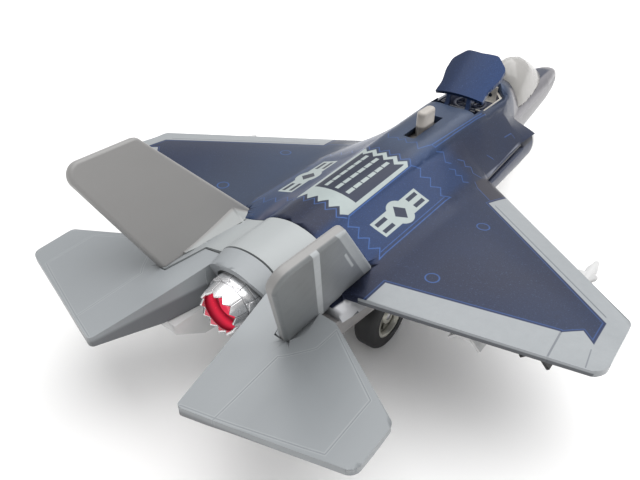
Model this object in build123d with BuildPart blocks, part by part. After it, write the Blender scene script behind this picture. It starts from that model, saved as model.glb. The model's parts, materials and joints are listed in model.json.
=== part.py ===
from build123d import *
from math import atan2, cos, degrees, pi, radians, sin, sqrt
import os

os.makedirs("parts", exist_ok=True)

# A die-cast toy jet with a pull-back motor. Millimetres. The nose points to -Y, up is +Z,
# port is +X, and Z = 0 is the ground under the wheels. Lengthwise places are stations:
# the distance aft of the nose tip.

# ---------------------------------------------------------------- driving dimensions
tail_tip = 218.0  # station of the tailplanes' rear corners, the overall length
part_z = 27.0  # plane where the upper and lower hulls meet
tail_part_z = 22.0  # plane where the tail frame meets the lower hull's cheeks
seam = 0.25  # gap between neighbouring shells
slip = 0.15  # gap round a piece that is glued or clipped into a pocket
running = 0.06  # radial clearance of a turning pin

nose_cap_end = 3.6  # station where the upper hull starts behind the nose cap
canopy_rear = 56.5
intake_front = 65.0
hull_rear = 169.4  # rear edge of the upper hull between the fins
deck_rear = 184.4  # rear edge of the tail deck
arm_rear = 181.0  # rear end of the upper hull's side arms, outside the fins
deck_half = 18.2

wing_half_span = 72.3
wing_root_x = 17.0
wing_line_x = 26.6  # where the leading and trailing edges are measured
wing_lead_root = 110.0
wing_lead_tip = 148.6
wing_trail_root = 175.8
wing_trail_tip = 166.2

fin_foot_x = 18.5
fin_foot_z = 29.2
fin_foot_front = 163.5
fin_foot_chord = 31.0
fin_tip_sweep = 25.4
fin_tip_chord = 19.2
fin_height = 30.4  # along the canted plate
fin_cant = 19.0
fin_thick = 2.4

tailplane_half_span = 47.4

slot_front = 100.7
slot_rear = 117.7
slot_width = 3.6
knob_front = 104.8
knob_length = 7.5
knob_width = 3.1
knob_top = 45.2

door_hinge_s = 91.2
door_hinge_z = 36.2
door_open = 33.0  # how far the fan door stands open at rest
door_heel_lead = 3.0  # how far forward of straight down its heel points then
door_rear = 85.0  # closed, the station of its rear edge
door_length = 17.6
door_rear_half = 8.3
door_half = 9.4  # at its widest
door_thick = 1.3
door_top_z = 41.2
door_camber = 1.9  # how far its edges drop below its crown
heel_radius = 8.5
heel_bar_r = 0.8
hinge_pin_r = 0.5
hinge_pin_half = 9.0

nozzle_pivot_s = 186.6
nozzle_pivot_z = 26.4
ball_r = 6.7
nozzle_front_r = 6.95
nozzle_rim_r = 5.5
nozzle_front = 187.9
nozzle_rim = 195.6

main_wheel_s = 156.3
main_wheel_r = 9.1
main_wheel_outer_x = 21.4
main_wheel_width = 6.0
main_rim_r = 5.7
axle_r = 1.0
nose_wheel_s = 50.0
nose_wheel_r = 5.2
nose_wheel_width = 4.0


def y_at(station):
    """Y of a station."""
    return station - tail_tip / 2


def across(station):
    """Plane across the body at a station: local x is X, local y is Z."""
    return Plane.XZ.offset(-y_at(station))


def along(x):
    """Plane along the body at X: local x is Y, local y is Z."""
    return Plane.YZ.offset(x)


def mirrored(half):
    """A half outline from crown to edge, made whole from edge to edge."""
    return [(-x, z) for x, z in reversed(half[1:])] + half


def top_section(station, *half):
    """A section above a flat foot, from its half outline: crown first, foot last."""
    points = mirrored(list(half))
    with BuildSketch(across(station)) as section:
        with BuildLine():
            Spline(*points)
            Line(points[-1], points[0])
        make_face()
    return section.sketch


def flat_section(station, top_half, top_z, foot_half, foot_z):
    """A trapezium across the body."""
    with BuildSketch(across(station)) as section:
        with BuildLine():
            Polyline(
                (-foot_half, foot_z), (-top_half, top_z), (top_half, top_z), (foot_half, foot_z),
                close=True,
            )
        make_face()
    return section.sketch


def rounded_section(station, x, z, width, height, radius):
    """A rounded rectangle across the body."""
    with BuildSketch(across(station)) as section:
        with Locations((x, z)):
            RectangleRounded(width, height, radius)
    return section.sketch


def symmetric(*half):
    """Mirror (x, station) corners of the +X half, from front to rear, to a closed outline."""
    return [*half, *[(-x, s) for x, s in reversed(half)]]


def side_profile(x, *points):
    """A closed outline seen from the side, from (station, z) corners."""
    with BuildSketch(along(x)) as outline:
        with BuildLine():
            Polyline(*[(y_at(s), z) for s, z in points], close=True)
        make_face()
    return outline.sketch


def cut_polygon(z, *points):
    """A closed outline seen from above, from (x, station) corners."""
    with BuildSketch(Plane.XY.offset(z)) as outline:
        with BuildLine():
            Polyline(*[(x, y_at(s)) for x, s in points], close=True)
        make_face()
    return outline.sketch


def block(x0, x1, s0, s1, z0, z1, mode=Mode.ADD):
    """A box between two values of X, station and Z."""
    with Locations(((x0 + x1) / 2, y_at((s0 + s1) / 2), (z0 + z1) / 2)):
        Box(abs(x1 - x0), s1 - s0, z1 - z0, mode=mode)


def rod_x(radius, x0, x1, station, z, mode=Mode.ADD):
    """A cylinder along X."""
    with Locations(Location(((x0 + x1) / 2, y_at(station), z), (0, 90, 0))):
        Cylinder(radius, abs(x1 - x0), mode=mode)


def rod_y(radius, s0, s1, x, z, mode=Mode.ADD):
    """A cylinder along Y."""
    with Locations(Location((x, y_at((s0 + s1) / 2), z), (90, 0, 0))):
        Cylinder(radius, s1 - s0, mode=mode)


def rod_z(radius, z0, z1, x, station, mode=Mode.ADD):
    """An upright cylinder."""
    with Locations((x, y_at(station), (z0 + z1) / 2)):
        Cylinder(radius, z1 - z0, mode=mode)


def write(part, name):
    """Label a finished piece and write its STEP file."""
    part.label = name
    export_step(part, f"parts/{name}.step")


# ---------------------------------------------------------------- body forms
# The forebody: sections of an upper spline and a lower spline that meet at the parting plane.
def nose_section(station, edge, crown, shoulder, waist, keel):
    """edge and crown: half width and height; shoulder, waist: (x, z) between them; keel: bottom z."""
    upper = mirrored([(0, crown), shoulder, (edge, part_z)])
    lower = [(edge, part_z), waist, (waist[0] * 0.8, (waist[1] + keel) / 2 - 0.6), (0, keel)]
    with BuildSketch(across(station)) as section:
        with BuildLine():
            Spline(*upper)
            Spline(*lower, *[(-x, z) for x, z in reversed(lower[:-1])])
        make_face()
    return section.sketch


with BuildPart() as forebody:
    loft(
        sections=[
            nose_section(0, 1.5, 27.8, (0.9, 27.6), (1.8, 26.2), 24.9),
            nose_section(1.5, 2.9, 28.6, (1.8, 28.3), (3.2, 25.7), 23.3),
            nose_section(5, 4.1, 29.5, (2.6, 29.0), (4.5, 25.3), 21.4),
            nose_section(11, 5.4, 30.4, (3.5, 29.8), (5.8, 24.9), 19.4),
            nose_section(19, 6.7, 31.0, (4.7, 30.3), (7.0, 24.6), 17.6),
            nose_section(31, 7.8, 31.2, (5.8, 30.5), (8.1, 24.2), 15.4),
            nose_section(44, 9.0, 31.5, (7.0, 30.9), (9.3, 23.9), 13.9),
            nose_section(57, 10.1, 32.1, (8.0, 31.5), (10.4, 23.6), 13.2),
            nose_section(70, 11.0, 33.0, (8.8, 32.3), (11.2, 23.5), 12.9),
        ],
        ruled=True,
    )

# The spine: fairing behind the canopy, flat deck with the slot, rounded back, nozzle barrel.
with BuildPart() as spine:
    loft(
        sections=[
            top_section(canopy_rear, (0, 39.9), (4.2, 38.6), (7.0, 35.2), (8.9, 30.6), (9.9, part_z)),
            top_section(60, (0, 40.8), (4.6, 39.8), (7.6, 36.3), (9.4, 31.0), (10.3, part_z)),
            top_section(64, (0, 41.3), (5.2, 40.6), (8.1, 37.6), (9.9, 31.8), (10.7, part_z)),
            top_section(71, (0, 41.2), (6.0, 40.8), (8.7, 38.9), (10.6, 33.0), (11.4, part_z)),
            top_section(92, (0, 40.4), (7.0, 40.2), (9.2, 38.8), (11.2, 33.5), (12.2, part_z)),
            top_section(117, (0, 39.6), (7.0, 39.1), (9.0, 37.7), (10.8, 33.0), (11.8, part_z)),
            top_section(131, (0, 38.8), (4.6, 38.5), (8.4, 37.2), (10.8, 33.0), (11.8, part_z)),
            top_section(158, (0, 37.8), (4.2, 37.3), (8.0, 35.8), (10.6, 32.0), (11.6, part_z)),
            top_section(hull_rear, (0, 37.1), (4.0, 36.6), (7.8, 35.1), (10.4, 31.6), (11.4, part_z)),
            top_section(deck_rear, (0, 37.1), (4.0, 36.6), (7.4, 34.9), (9.6, 31.5), (10.6, part_z)),
            top_section(190.2, (0, 35.6), (4.0, 35.0), (7.2, 33.0), (9.3, 30.0), (10.2, part_z)),
        ],
        ruled=True,
    )

# The shoulders: intake trunks that run back into the wing roots and the tail.
with BuildPart() as shoulders:
    loft(
        sections=[
            top_section(intake_front, (0, 34.0), (7.0, 33.4), (11.0, 30.4), (15.4, 28.6), (19.4, part_z)),
            top_section(75, (0, 37.4), (8.2, 37.0), (11.8, 34.0), (15.2, 30.6), (18.7, part_z)),
            top_section(92, (0, 38.8), (8.6, 38.5), (12.2, 34.9), (15.5, 31.1), (18.9, part_z)),
            top_section(104, (0, 38.4), (8.6, 38.0), (12.4, 34.8), (16.6, 31.0), (20.6, part_z)),
            top_section(116, (0, 37.8), (8.2, 37.3), (13.0, 34.9), (19.0, 31.4), (25.6, part_z)),
            top_section(131, (0, 37.4), (8.2, 36.8), (14.0, 34.5), (20.5, 32.0), (27.6, part_z)),
            top_section(160, (0, 36.3), (8.2, 35.4), (14.0, 33.4), (20.5, 31.6), (26.6, part_z)),
            top_section(171, (0, 35.2), (8.4, 33.9), (13.0, 32.3), (18.6, 30.9), (25.2, part_z)),
            top_section(arm_rear + 3, (0, 34.2), (9.4, 33.0), (14.4, 31.9), (18.4, 30.6), (23.0, part_z)),
            top_section(196, (0, 33.4), (9.2, 32.2), (14.0, 31.2), (18.2, 30.2), (22.0, part_z)),
        ],
        ruled=True,
    )


def belly_section(station, edge, side, bilge, flat, keel):
    """A section below the parting plane: half width there, then (x, z) points, and the flat keel."""
    half = [(edge, part_z), side, bilge, (flat, keel + 0.25), (0, keel)]
    with BuildSketch(across(station)) as section:
        with BuildLine():
            Spline(*half, *[(-x, z) for x, z in reversed(half[:-1])])
            Line((-edge, part_z), (edge, part_z))
        make_face()
    return section.sketch


with BuildPart() as belly:
    loft(
        sections=[
            belly_section(intake_front, 18.7, (19.7, 23.4), (17.6, 17.4), 11.5, 13.1),
            belly_section(75, 18.1, (19.9, 23.0), (18.0, 17.0), 12.5, 12.8),
            belly_section(104, 20.0, (21.0, 22.6), (18.6, 16.6), 13.0, 12.7),
            belly_section(131, 25.0, (23.0, 22.0), (19.8, 16.4), 14.0, 12.6),
            belly_section(160, 24.6, (23.4, 21.8), (20.2, 16.4), 14.0, 12.6),
            belly_section(181, 22.6, (21.4, 21.4), (18.8, 16.4), 13.5, 12.9),
            belly_section(193, 21.0, (20.0, 21.6), (18.0, 17.2), 13.0, 14.4),
            belly_section(201, 20.2, (19.2, 22.6), (17.4, 20.6), 13.0, 19.4),
        ],
        ruled=True,
    )

# ---------------------------------------------------------------- wings
lead_slope = (wing_lead_tip - wing_lead_root) / (wing_half_span - wing_line_x)
trail_slope = (wing_trail_tip - wing_trail_root) / (wing_half_span - wing_line_x)


def wing_section(x, lead_z, top_z, trail_z, under_z, edge):
    """An aerofoil at X: heights of the leading edge, crest, trailing edge and underside."""
    lead = y_at(wing_lead_root + lead_slope * (x - wing_line_x))
    trail = y_at(wing_trail_root + trail_slope * (x - wing_line_x))
    chord = trail - lead
    with BuildSketch(along(x)) as section:
        with BuildLine():
            over = Spline(
                (lead, lead_z + edge / 2), (lead + 0.16 * chord, (lead_z + 2 * top_z) / 3),
                (lead + 0.42 * chord, top_z), (trail, trail_z),
            )
            under = Spline(
                (lead, lead_z - edge / 2), (lead + 0.30 * chord, under_z),
                (lead + 0.62 * chord, under_z + 0.3), (trail, trail_z - edge),
            )
            Line(over @ 0, under @ 0)
            Line(over @ 1, under @ 1)
        make_face()
    return section.sketch


with BuildPart() as wing:
    loft(
        sections=[
            wing_section(wing_root_x, 26.2, 31.1, 30.9, 26.4, 1.6),
            wing_section(wing_half_span, 30.6, 31.6, 31.5, 29.6, 1.5),
        ],
        ruled=True
    )
    with BuildSketch(Plane.XY.offset(20)):
        with BuildLine():
            FilletPolyline(
                (wing_root_x, y_at(wing_lead_root + lead_slope * (wing_root_x - wing_line_x))),
                (wing_half_span, y_at(wing_lead_tip)),
                (wing_half_span, y_at(wing_trail_tip)),
                (wing_root_x, y_at(wing_trail_root + trail_slope * (wing_root_x - wing_line_x))),
                radius=[2.6, 4.0], close=False,
            )
            Line(
                (wing_root_x, y_at(wing_trail_root + trail_slope * (wing_root_x - wing_line_x))),
                (wing_root_x, y_at(wing_lead_root + lead_slope * (wing_root_x - wing_line_x))),
            )
        make_face()
    extrude(amount=20, mode=Mode.INTERSECT)
    add(belly.part, mode=Mode.SUBTRACT)

# ---------------------------------------------------------------- fins
def fin_plane(side):
    """The plane of a canted fin: local x is aft, local y climbs outboard."""
    lean = radians(fin_cant)
    return Plane(
        origin=(side * fin_foot_x, y_at(fin_foot_front), fin_foot_z),
        x_dir=(0, 1, 0),
        z_dir=(cos(lean), 0, -side * sin(lean)),
    )


def fin_fairing(side, station, rise, spread):
    """A triangle across the body that fills the corner between a fin's inner face and the deck."""
    lean = radians(fin_cant)
    top = (side * (fin_foot_x + rise * sin(lean)), fin_foot_z + rise * cos(lean))
    deck = (side * (fin_foot_x - spread), fin_foot_z + 2.2 - 0.12 * spread)
    with BuildSketch(across(station)) as section:
        with BuildLine():
            Polyline(top, deck, (side * (fin_foot_x - 0.8), fin_foot_z + 0.6), close=True)
        make_face()
    return section.sketch


def make_fin(side):
    """A canted fin with a fairing along its inner foot and a tab that drops into the deck."""
    plane = fin_plane(side)
    up = 1 if plane.y_dir.Z > 0 else -1
    with BuildPart() as fin:
        with BuildSketch(plane):
            with BuildLine():
                FilletPolyline(
                    (0, 0),
                    (fin_tip_sweep, up * fin_height),
                    (fin_tip_sweep + fin_tip_chord, up * fin_height),
                    (fin_foot_chord, 0),
                    radius=[2.0, 3.2],
                    close=False,
                )
                Line((fin_foot_chord, 0), (0, 0))
            make_face()
        extrude(amount=fin_thick / 2, both=True)
        rim = fin.edges().filter_by(lambda e: abs(plane.to_local_coords(e.center()).Y * up) > 0.5)
        fillet([e for e in rim if abs(abs(plane.to_local_coords(e.center()).Z) - fin_thick / 2) < 0.01], 0.8)
        with BuildSketch(plane):
            with Locations((fin_foot_chord * 0.55, -up * 0.9)):
                Rectangle(fin_foot_chord * 0.4, 2.6)
        extrude(amount=0.8, both=True)
        loft(
            sections=[
                fin_fairing(side, fin_foot_front + 2.0, 1.9, 1.6),
                fin_fairing(side, fin_foot_front + 7.2, 7.0, 4.0),
                fin_fairing(side, fin_foot_front + 25.0, 2.0, 1.4),
            ],
            ruled=True,
        )
    return fin.part


fin_port = make_fin(1)
fin_starboard = mirror(fin_port, about=Plane.YZ)

# ---------------------------------------------------------------- tail deck
def deck_zone(grow, z0, z1):
    """The deck's outline seen from above, grown sideways and forward by a gap, as a prism."""
    front = hull_rear + seam - grow
    rear = deck_rear + grow
    half = deck_half + grow
    with BuildPart() as zone:
        extrude(
            cut_polygon(
                z0, (half, front), (half, 194.9 + grow), (17.0 - grow, 194.9 + grow), (14.4 - grow, rear),
                (-14.4 + grow, rear), (-17.0 + grow, 194.9 + grow), (-half, 194.9 + grow), (-half, front),
            ),
            amount=z1 - z0,
        )
    return zone.part


with BuildPart() as tail_deck:
    add(spine.part)
    add(shoulders.part)
    add(deck_zone(0, part_z, 50), mode=Mode.INTERSECT)
    loft(
        sections=[
            flat_section(hull_rear, 7.2, 34.6, 16.4, part_z - 1),
            flat_section(deck_rear, 6.4, 34.2, 15.2, part_z - 1),
        ],
        mode=Mode.SUBTRACT,
    )
    rod_y(ball_r + 0.9, 176.5, deck_rear + 1, 0, nozzle_pivot_z, mode=Mode.SUBTRACT)
    add([fin_port, fin_starboard], mode=Mode.SUBTRACT)

# ---------------------------------------------------------------- fan well and hinge places
door_under_z = door_top_z - door_thick
seat_z = door_under_z - slip
door_front = door_rear - door_length
well_half = 7.9
well_floor = 33.5
well_front = 65.6
well_rear = 91.6
well_corner = (4.2, 4.6)  # half width of the front wall, length of the slanted corners
pocket_front = 84.8  # behind it the well has no floor
arm_in = 2.9
arm_out = 4.3
lug_out = 9.3
fan_s = 77.9
fan_r = 4.9


def well_outline(inset, rear):
    """The well seen from above, its walls moved inward, back to a station."""
    half = well_half - inset
    return symmetric(
        (well_corner[0] - 0.4 * inset, well_front + inset),
        (half, well_front + well_corner[1] + 0.6 * inset),
        (half, rear),
    )


def arched(crown, foot, front, rear):
    """A bar along the body with the fan door's camber on top."""
    edge = crown - door_camber
    with BuildPart() as bar:
        with BuildSketch(across(front)):
            with BuildLine():
                ThreePointArc((-10, edge), (0, crown), (10, edge))
                Polyline((10, edge), (10, foot), (-10, foot), (-10, edge))
            make_face()
        extrude(amount=front - rear)
    return bar.part


# What the seat of the closed door takes off the hull.
with BuildPart() as seat_room:
    block(-10, 10, door_front - 2 * slip, door_rear + 1.2, 36, 60)
    add(arched(seat_z, 30, door_front - 2, door_rear + 3), mode=Mode.SUBTRACT)

cockpit_front = 25.0
cockpit_rear = 50.5
cockpit_outline = symmetric((3.0, cockpit_front), (5.6, cockpit_rear))

screw_places = [(6.4, 62.0), (-6.4, 62.0), (13.4, 136.0), (-13.4, 136.0)]
screw_r = 0.85
boss_r = 2.4
boss_roof = {62.0: 30.6, 136.0: 33.4}
cavity_front = 80.0

with BuildPart() as upper_hull:
    add(forebody.part)
    block(-30, 30, nose_cap_end, 72, part_z, 60, mode=Mode.INTERSECT)
    add(spine.part)
    add(shoulders.part)
    block(-40, 40, nose_cap_end, arm_rear, part_z, 60, mode=Mode.INTERSECT)
    add(wing.part)
    add(mirror(wing.part, about=Plane.YZ))
    # Hollow: a low front bay, and a tall rear bay with a flat ceiling over the slider.
    loft(
        sections=[
            flat_section(10, 2.6, 27.6, 3.4, part_z - 1),
            flat_section(24, 4.6, 28.4, 5.8, part_z - 1),
            flat_section(60, 6.8, 30.2, 8.8, part_z - 1),
        ],
        ruled=True,
        mode=Mode.SUBTRACT,
    )
    loft(
        sections=[
            flat_section(cavity_front, 9.0, 31.6, 15.4, part_z - 1),
            flat_section(pocket_front, 9.4, 31.8, 15.8, part_z - 1),
        ],
        mode=Mode.SUBTRACT,
    )
    loft(
        sections=[
            flat_section(pocket_front, 7.4, 38.0, 16.2, part_z - 1),
            flat_section(104, 7.2, 38.0, 17.6, part_z - 1),
            flat_section(116, 6.7, 38.0, 20.5, part_z - 1),
            flat_section(123.4, 6.2, 38.0, 21.3, part_z - 1),
            flat_section(124.4, 6.2, 36.9, 21.4, part_z - 1),
            flat_section(hull_rear - 1.4, 6.6, 35.2, 21.0, part_z - 1),
        ],
        ruled=True,
        mode=Mode.SUBTRACT,
    )
    extrude(cut_polygon(part_z - 1, *cockpit_outline), amount=20, mode=Mode.SUBTRACT)
    # Fan well, the seat of its door, and the lugs that hold the hinge pin.
    add(seat_room.part, mode=Mode.SUBTRACT)
    extrude(cut_polygon(well_floor, *well_outline(0, well_rear)), amount=20, mode=Mode.SUBTRACT)
    rod_z(fan_r, 25, well_floor + 1, 0, fan_s, mode=Mode.SUBTRACT)
    for side in (-1, 1):
        block(
            side * (well_half + 0.05), side * lug_out, door_hinge_s - 1.8, door_hinge_s + 1.8,
            door_hinge_z - 1.8, door_hinge_z + 1.9,
        )
    rod_x(hinge_pin_r, -hinge_pin_half, hinge_pin_half, door_hinge_s, door_hinge_z, mode=Mode.SUBTRACT)
    block(-slot_width / 2, slot_width / 2, slot_front, slot_rear, 34, 60, mode=Mode.SUBTRACT)
    add(deck_zone(seam, part_z - 1, 60), mode=Mode.SUBTRACT)
    add([fin_port, fin_starboard], mode=Mode.SUBTRACT)
    # Screw bosses hang from the roof.
    for x, s in screw_places:
        rod_z(boss_r, part_z, boss_roof[s], x, s)
        rod_z(screw_r, part_z - 1, boss_roof[s] - 0.7, x, s, mode=Mode.SUBTRACT)

# ---------------------------------------------------------------- lower hull
arch_r = main_wheel_r + 1.6
arch_x = 14.2
motor_half = 10.0
motor_front = 141.2
motor_rear = 161.8
motor_foot = 4.9
motor_top = 24.0
bay_half = 9.5
bay_front = 86.0
bay_rear = 122.0
tray_half = 10.4
tray_top = 21.0
cell_places = [92.2, 104.0, 115.8]
floor_z = 14.4
cover_screw_s = 124.6
speaker_s = 134.3
speaker_r = 6.4
lamp_r = 1.5
leg_half = 3.9
leg_length = 6.4
leg_top = 16.2
nozzle_bay_half = 8.2

with BuildPart() as lower_hull:
    add(forebody.part)
    block(-30, 30, nose_cap_end, 80, part_z, 60, mode=Mode.SUBTRACT)
    add(belly.part)
    # Hollow: nose, between the intake mouths, full width, between the wheels, tail.
    loft(
        sections=[
            flat_section(8, 2.8, part_z + 1, 1.8, 23.0),
            flat_section(20, 5.2, part_z + 1, 3.6, 19.4),
            flat_section(44, 7.4, part_z + 1, 5.0, 15.8),
            flat_section(66, 8.8, part_z + 1, 6.4, 14.8),
            flat_section(78.4, 9.6, part_z + 1, 8.0, floor_z),
        ],
        ruled=True,
        mode=Mode.SUBTRACT,
    )
    loft(
        sections=[
            flat_section(78.4, 16.4, part_z + 1, 14.6, floor_z),
            flat_section(104, 18.0, part_z + 1, 14.8, floor_z),
            flat_section(131, 20.8, part_z + 1, 15.6, floor_z),
            flat_section(143.6, 20.6, part_z + 1, 15.6, floor_z),
        ],
        ruled=True,
        mode=Mode.SUBTRACT,
    )
    block(-12.8, 12.8, 143, 170, floor_z, part_z + 1, mode=Mode.SUBTRACT)
    loft(
        sections=[
            flat_section(169.0, 20.2, part_z + 1, 15.4, floor_z + 0.2),
            flat_section(177.6, 19.0, part_z + 1, 14.4, floor_z + 0.6),
        ],
        mode=Mode.SUBTRACT,
    )
    # Intake mouths, the lower part.
    for side in (-1, 1):
        loft(
            sections=[
                rounded_section(intake_front - 1, side * 14.7, 21.6, 6.6, 11.6, 1.6),
                rounded_section(76.6, side * 14.6, 21.8, 4.6, 9.6, 1.2),
            ],
            mode=Mode.SUBTRACT,
        )
    # Wheel arches, motor opening, battery opening, nozzle bay, tail shelf.
    for side in (-1, 1):
        rod_x(arch_r, side * arch_x, side * 30, main_wheel_s, main_wheel_r, mode=Mode.SUBTRACT)
    block(
        -motor_half - seam, motor_half + seam, motor_front - seam, motor_rear + seam, 0, floor_z + 1,
        mode=Mode.SUBTRACT,
    )
    block(-bay_half, bay_half, bay_front, bay_rear, 0, floor_z, mode=Mode.SUBTRACT)
    block(-3.2, 3.2, bay_rear - 1, cover_screw_s + 3.0, 0, floor_z, mode=Mode.SUBTRACT)
    block(-nozzle_bay_half, nozzle_bay_half, 179.4, 205, 0, 60, mode=Mode.SUBTRACT)
    block(-30, 30, deck_rear + seam, 205, tail_part_z, 60, mode=Mode.SUBTRACT)
    # Dark groove under the lower edge of each shoulder.
    for side in (-1, 1):
        block(side * 17.9, side * 22, 74.5, 103.5, 25.2, 26.2, mode=Mode.SUBTRACT)
    # Tray that takes the three button cells.
    block(-tray_half, tray_half, bay_front - 1.2, bay_rear + 1.2, floor_z, tray_top)
    for place in cell_places:
        rod_z(6.0, floor_z - 1, tray_top + 1, 0, place, mode=Mode.SUBTRACT)
    block(-1.6, 1.6, cell_places[0], cell_places[2], floor_z - 1, tray_top + 1, mode=Mode.SUBTRACT)
    # Speaker seat with sound slots.
    rod_z(speaker_r + 1.0, floor_z, floor_z + 1.5, 0, speaker_s)
    block(-10, 10, motor_front - seam, motor_front + 8.8, floor_z, floor_z + 2, mode=Mode.SUBTRACT)
    rod_z(speaker_r + slip, floor_z, floor_z + 2, 0, speaker_s, mode=Mode.SUBTRACT)
    rod_z(2.4, floor_z, 20.0, 0, cover_screw_s)
    rod_z(0.75, floor_z - 1, 19.4, 0, cover_screw_s, mode=Mode.SUBTRACT)
    with Locations(*[(x, y_at(speaker_s), floor_z) for x in (-4, -2, 0, 2, 4)]):
        Box(0.9, 6.0, 6, mode=Mode.SUBTRACT)
    # Lamp tower.
    block(-4.6, 4.6, 177.2, 179.2, floor_z + 0.4, 30.2)
    rod_y(lamp_r + 0.05, 176, 180, 0, nozzle_pivot_z, mode=Mode.SUBTRACT)
    # Nose leg socket.
    block(-5.2, 5.2, nose_wheel_s - 4.6, nose_wheel_s + 4.6, 15.4, 18.0)
    block(
        -leg_half - 0.1, leg_half + 0.1, nose_wheel_s - leg_length / 2 - 0.1,
        nose_wheel_s + leg_length / 2 + 0.1, 0, leg_top, mode=Mode.SUBTRACT,
    )
    # Screw bosses with counterbores.
    for x, s in screw_places:
        rod_z(boss_r, floor_z, part_z, x, s)
        rod_z(screw_r + 0.15, 0, part_z + 1, x, s, mode=Mode.SUBTRACT)
        rod_z(1.95, 0, 18.0, x, s, mode=Mode.SUBTRACT)
    add([fin_port, fin_starboard], mode=Mode.SUBTRACT)

# ---------------------------------------------------------------- tail frame
def boom_section(x, front, rear, *heights):
    """Section of boom and tailplane at X: front and rear stations, then five heights."""
    top_front, top_rear, under_rear, under_mid, under_front = heights
    middle = front + 0.5 * (rear - front)
    with BuildSketch(along(x)) as section:
        with BuildLine():
            Polyline(
                (y_at(front), top_front), (y_at(rear), top_rear), (y_at(rear), under_rear),
                (y_at(middle), under_mid), (y_at(front), under_front), close=True,
            )
        make_face()
    return section.sketch


frame_front = deck_rear + 0.45
tip_over = 0.227  # what the rounding takes off the tail's rearmost corner

with BuildPart() as tail_port:
    loft(
        sections=[
            boom_section(8.4, frame_front, 219.6, 32.6, 27.9, 25.7, 22.1, tail_part_z),
            boom_section(19.6, frame_front, 217.8, 30.7, 28.3, 26.4, 23.6, tail_part_z),
            boom_section(25.0, frame_front, 216.2, 30.3, 28.5, 26.8, 27.0, 27.4),
            boom_section(tailplane_half_span, 199.0, 210.2, 30.9, 29.9, 28.4, 28.6, 29.3),
        ],
        ruled=True,
    )
    with BuildSketch(Plane.XY.offset(15)):
        with BuildLine():
            FilletPolyline(
                (8.4, y_at(frame_front)), (24.6, y_at(frame_front)), (tailplane_half_span, y_at(199.0)),
                (tailplane_half_span, y_at(210.0)), (13.4, y_at(tail_tip + tip_over)), (8.4, y_at(188.0)),
                radius=[1.2, 1.8, 2.4, 1.0], close=False,
            )
            Line((8.4, y_at(188.0)), (8.4, y_at(frame_front)))
        make_face()
    extrude(amount=30, mode=Mode.INTERSECT)

bore_r = nozzle_front_r + 0.75

with BuildPart() as tail_frame:
    add(tail_port.part)
    add(mirror(tail_port.part, about=Plane.YZ))
    add(spine.part)
    block(-60, 60, frame_front, 230, tail_part_z, 60, mode=Mode.INTERSECT)
    # The barrel's rear edge sweeps forward down its sides.
    with BuildSketch(along(-11)):
        with BuildLine():
            Polyline(
                (y_at(190.6), 40), (y_at(190.0), 34.5), (y_at(186.9), 27.0), (y_at(186.9), 20),
                (y_at(200), 20), (y_at(200), 40), close=True,
            )
        make_face()
    extrude(amount=19.4, mode=Mode.SUBTRACT)
    add(tail_port.part)
    add(mirror(tail_port.part, about=Plane.YZ))
    rod_y(bore_r, 180, 200, 0, nozzle_pivot_z, mode=Mode.SUBTRACT)
    block(-8.2, 8.2, 180, 200, 10, nozzle_pivot_z, mode=Mode.SUBTRACT)
    rod_x(1.26, -9.4, 9.4, nozzle_pivot_s, nozzle_pivot_z, mode=Mode.SUBTRACT)
    add(deck_zone(seam, part_z, 60), mode=Mode.SUBTRACT)
    add([fin_port, fin_starboard], mode=Mode.SUBTRACT)

# ---------------------------------------------------------------- nozzle
nozzle_axis = Axis((0, 0, nozzle_pivot_z), (0, 1, 0))

with BuildPart() as nozzle_collar:
    with BuildSketch(Plane.YZ):
        with BuildLine():
            middle = y_at(nozzle_pivot_s)
            ball_front = (middle - 3.6, nozzle_pivot_z + sqrt(ball_r**2 - 3.6**2))
            ball_rear = (middle + 2.7, nozzle_pivot_z + sqrt(ball_r**2 - 2.7**2))
            ThreePointArc(ball_front, (middle, nozzle_pivot_z + ball_r), ball_rear)
            Polyline(
                ball_rear, (middle + 2.7, nozzle_pivot_z + 4.6), (middle - 3.6, nozzle_pivot_z + 4.6),
                ball_front,
            )
        make_face()
    revolve(axis=nozzle_axis)
    for side in (-1, 1):
        rod_x(1.2, side * 5.8, side * 9.1, nozzle_pivot_s, nozzle_pivot_z)

petal_count = 12
petal_step = 360 / petal_count
ring_rear = nozzle_front + 3.6  # rim of the outer ring, which covers the feet of the petals
ring_over = 0.3  # how far the ring's corners stand out at its front


def faceted(station, radius, turn):
    """A polygon across the nozzle with one side for each petal, its corners at the radius."""
    with BuildSketch(across(station)) as section:
        with Locations((0, nozzle_pivot_z)):
            RegularPolygon(radius, petal_count, rotation=turn)
    return section.sketch


def saw_rim(station, radius, turn, depth):
    """What is cut from a rim between neighbouring petals."""
    reach = pi * radius / petal_count
    with BuildPart() as notch:
        with BuildSketch(Plane.XY.offset(nozzle_pivot_z + 3)):
            with BuildLine():
                Polyline(
                    (-reach, y_at(station + 0.1)), (0, y_at(station - depth)), (reach, y_at(station + 0.1)),
                    close=True,
                )
            make_face()
        extrude(amount=5)
    with BuildPart() as notches:
        for i in range(petal_count):
            add(notch.part.rotate(nozzle_axis, petal_step * i + turn))
    return notches.part


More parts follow.
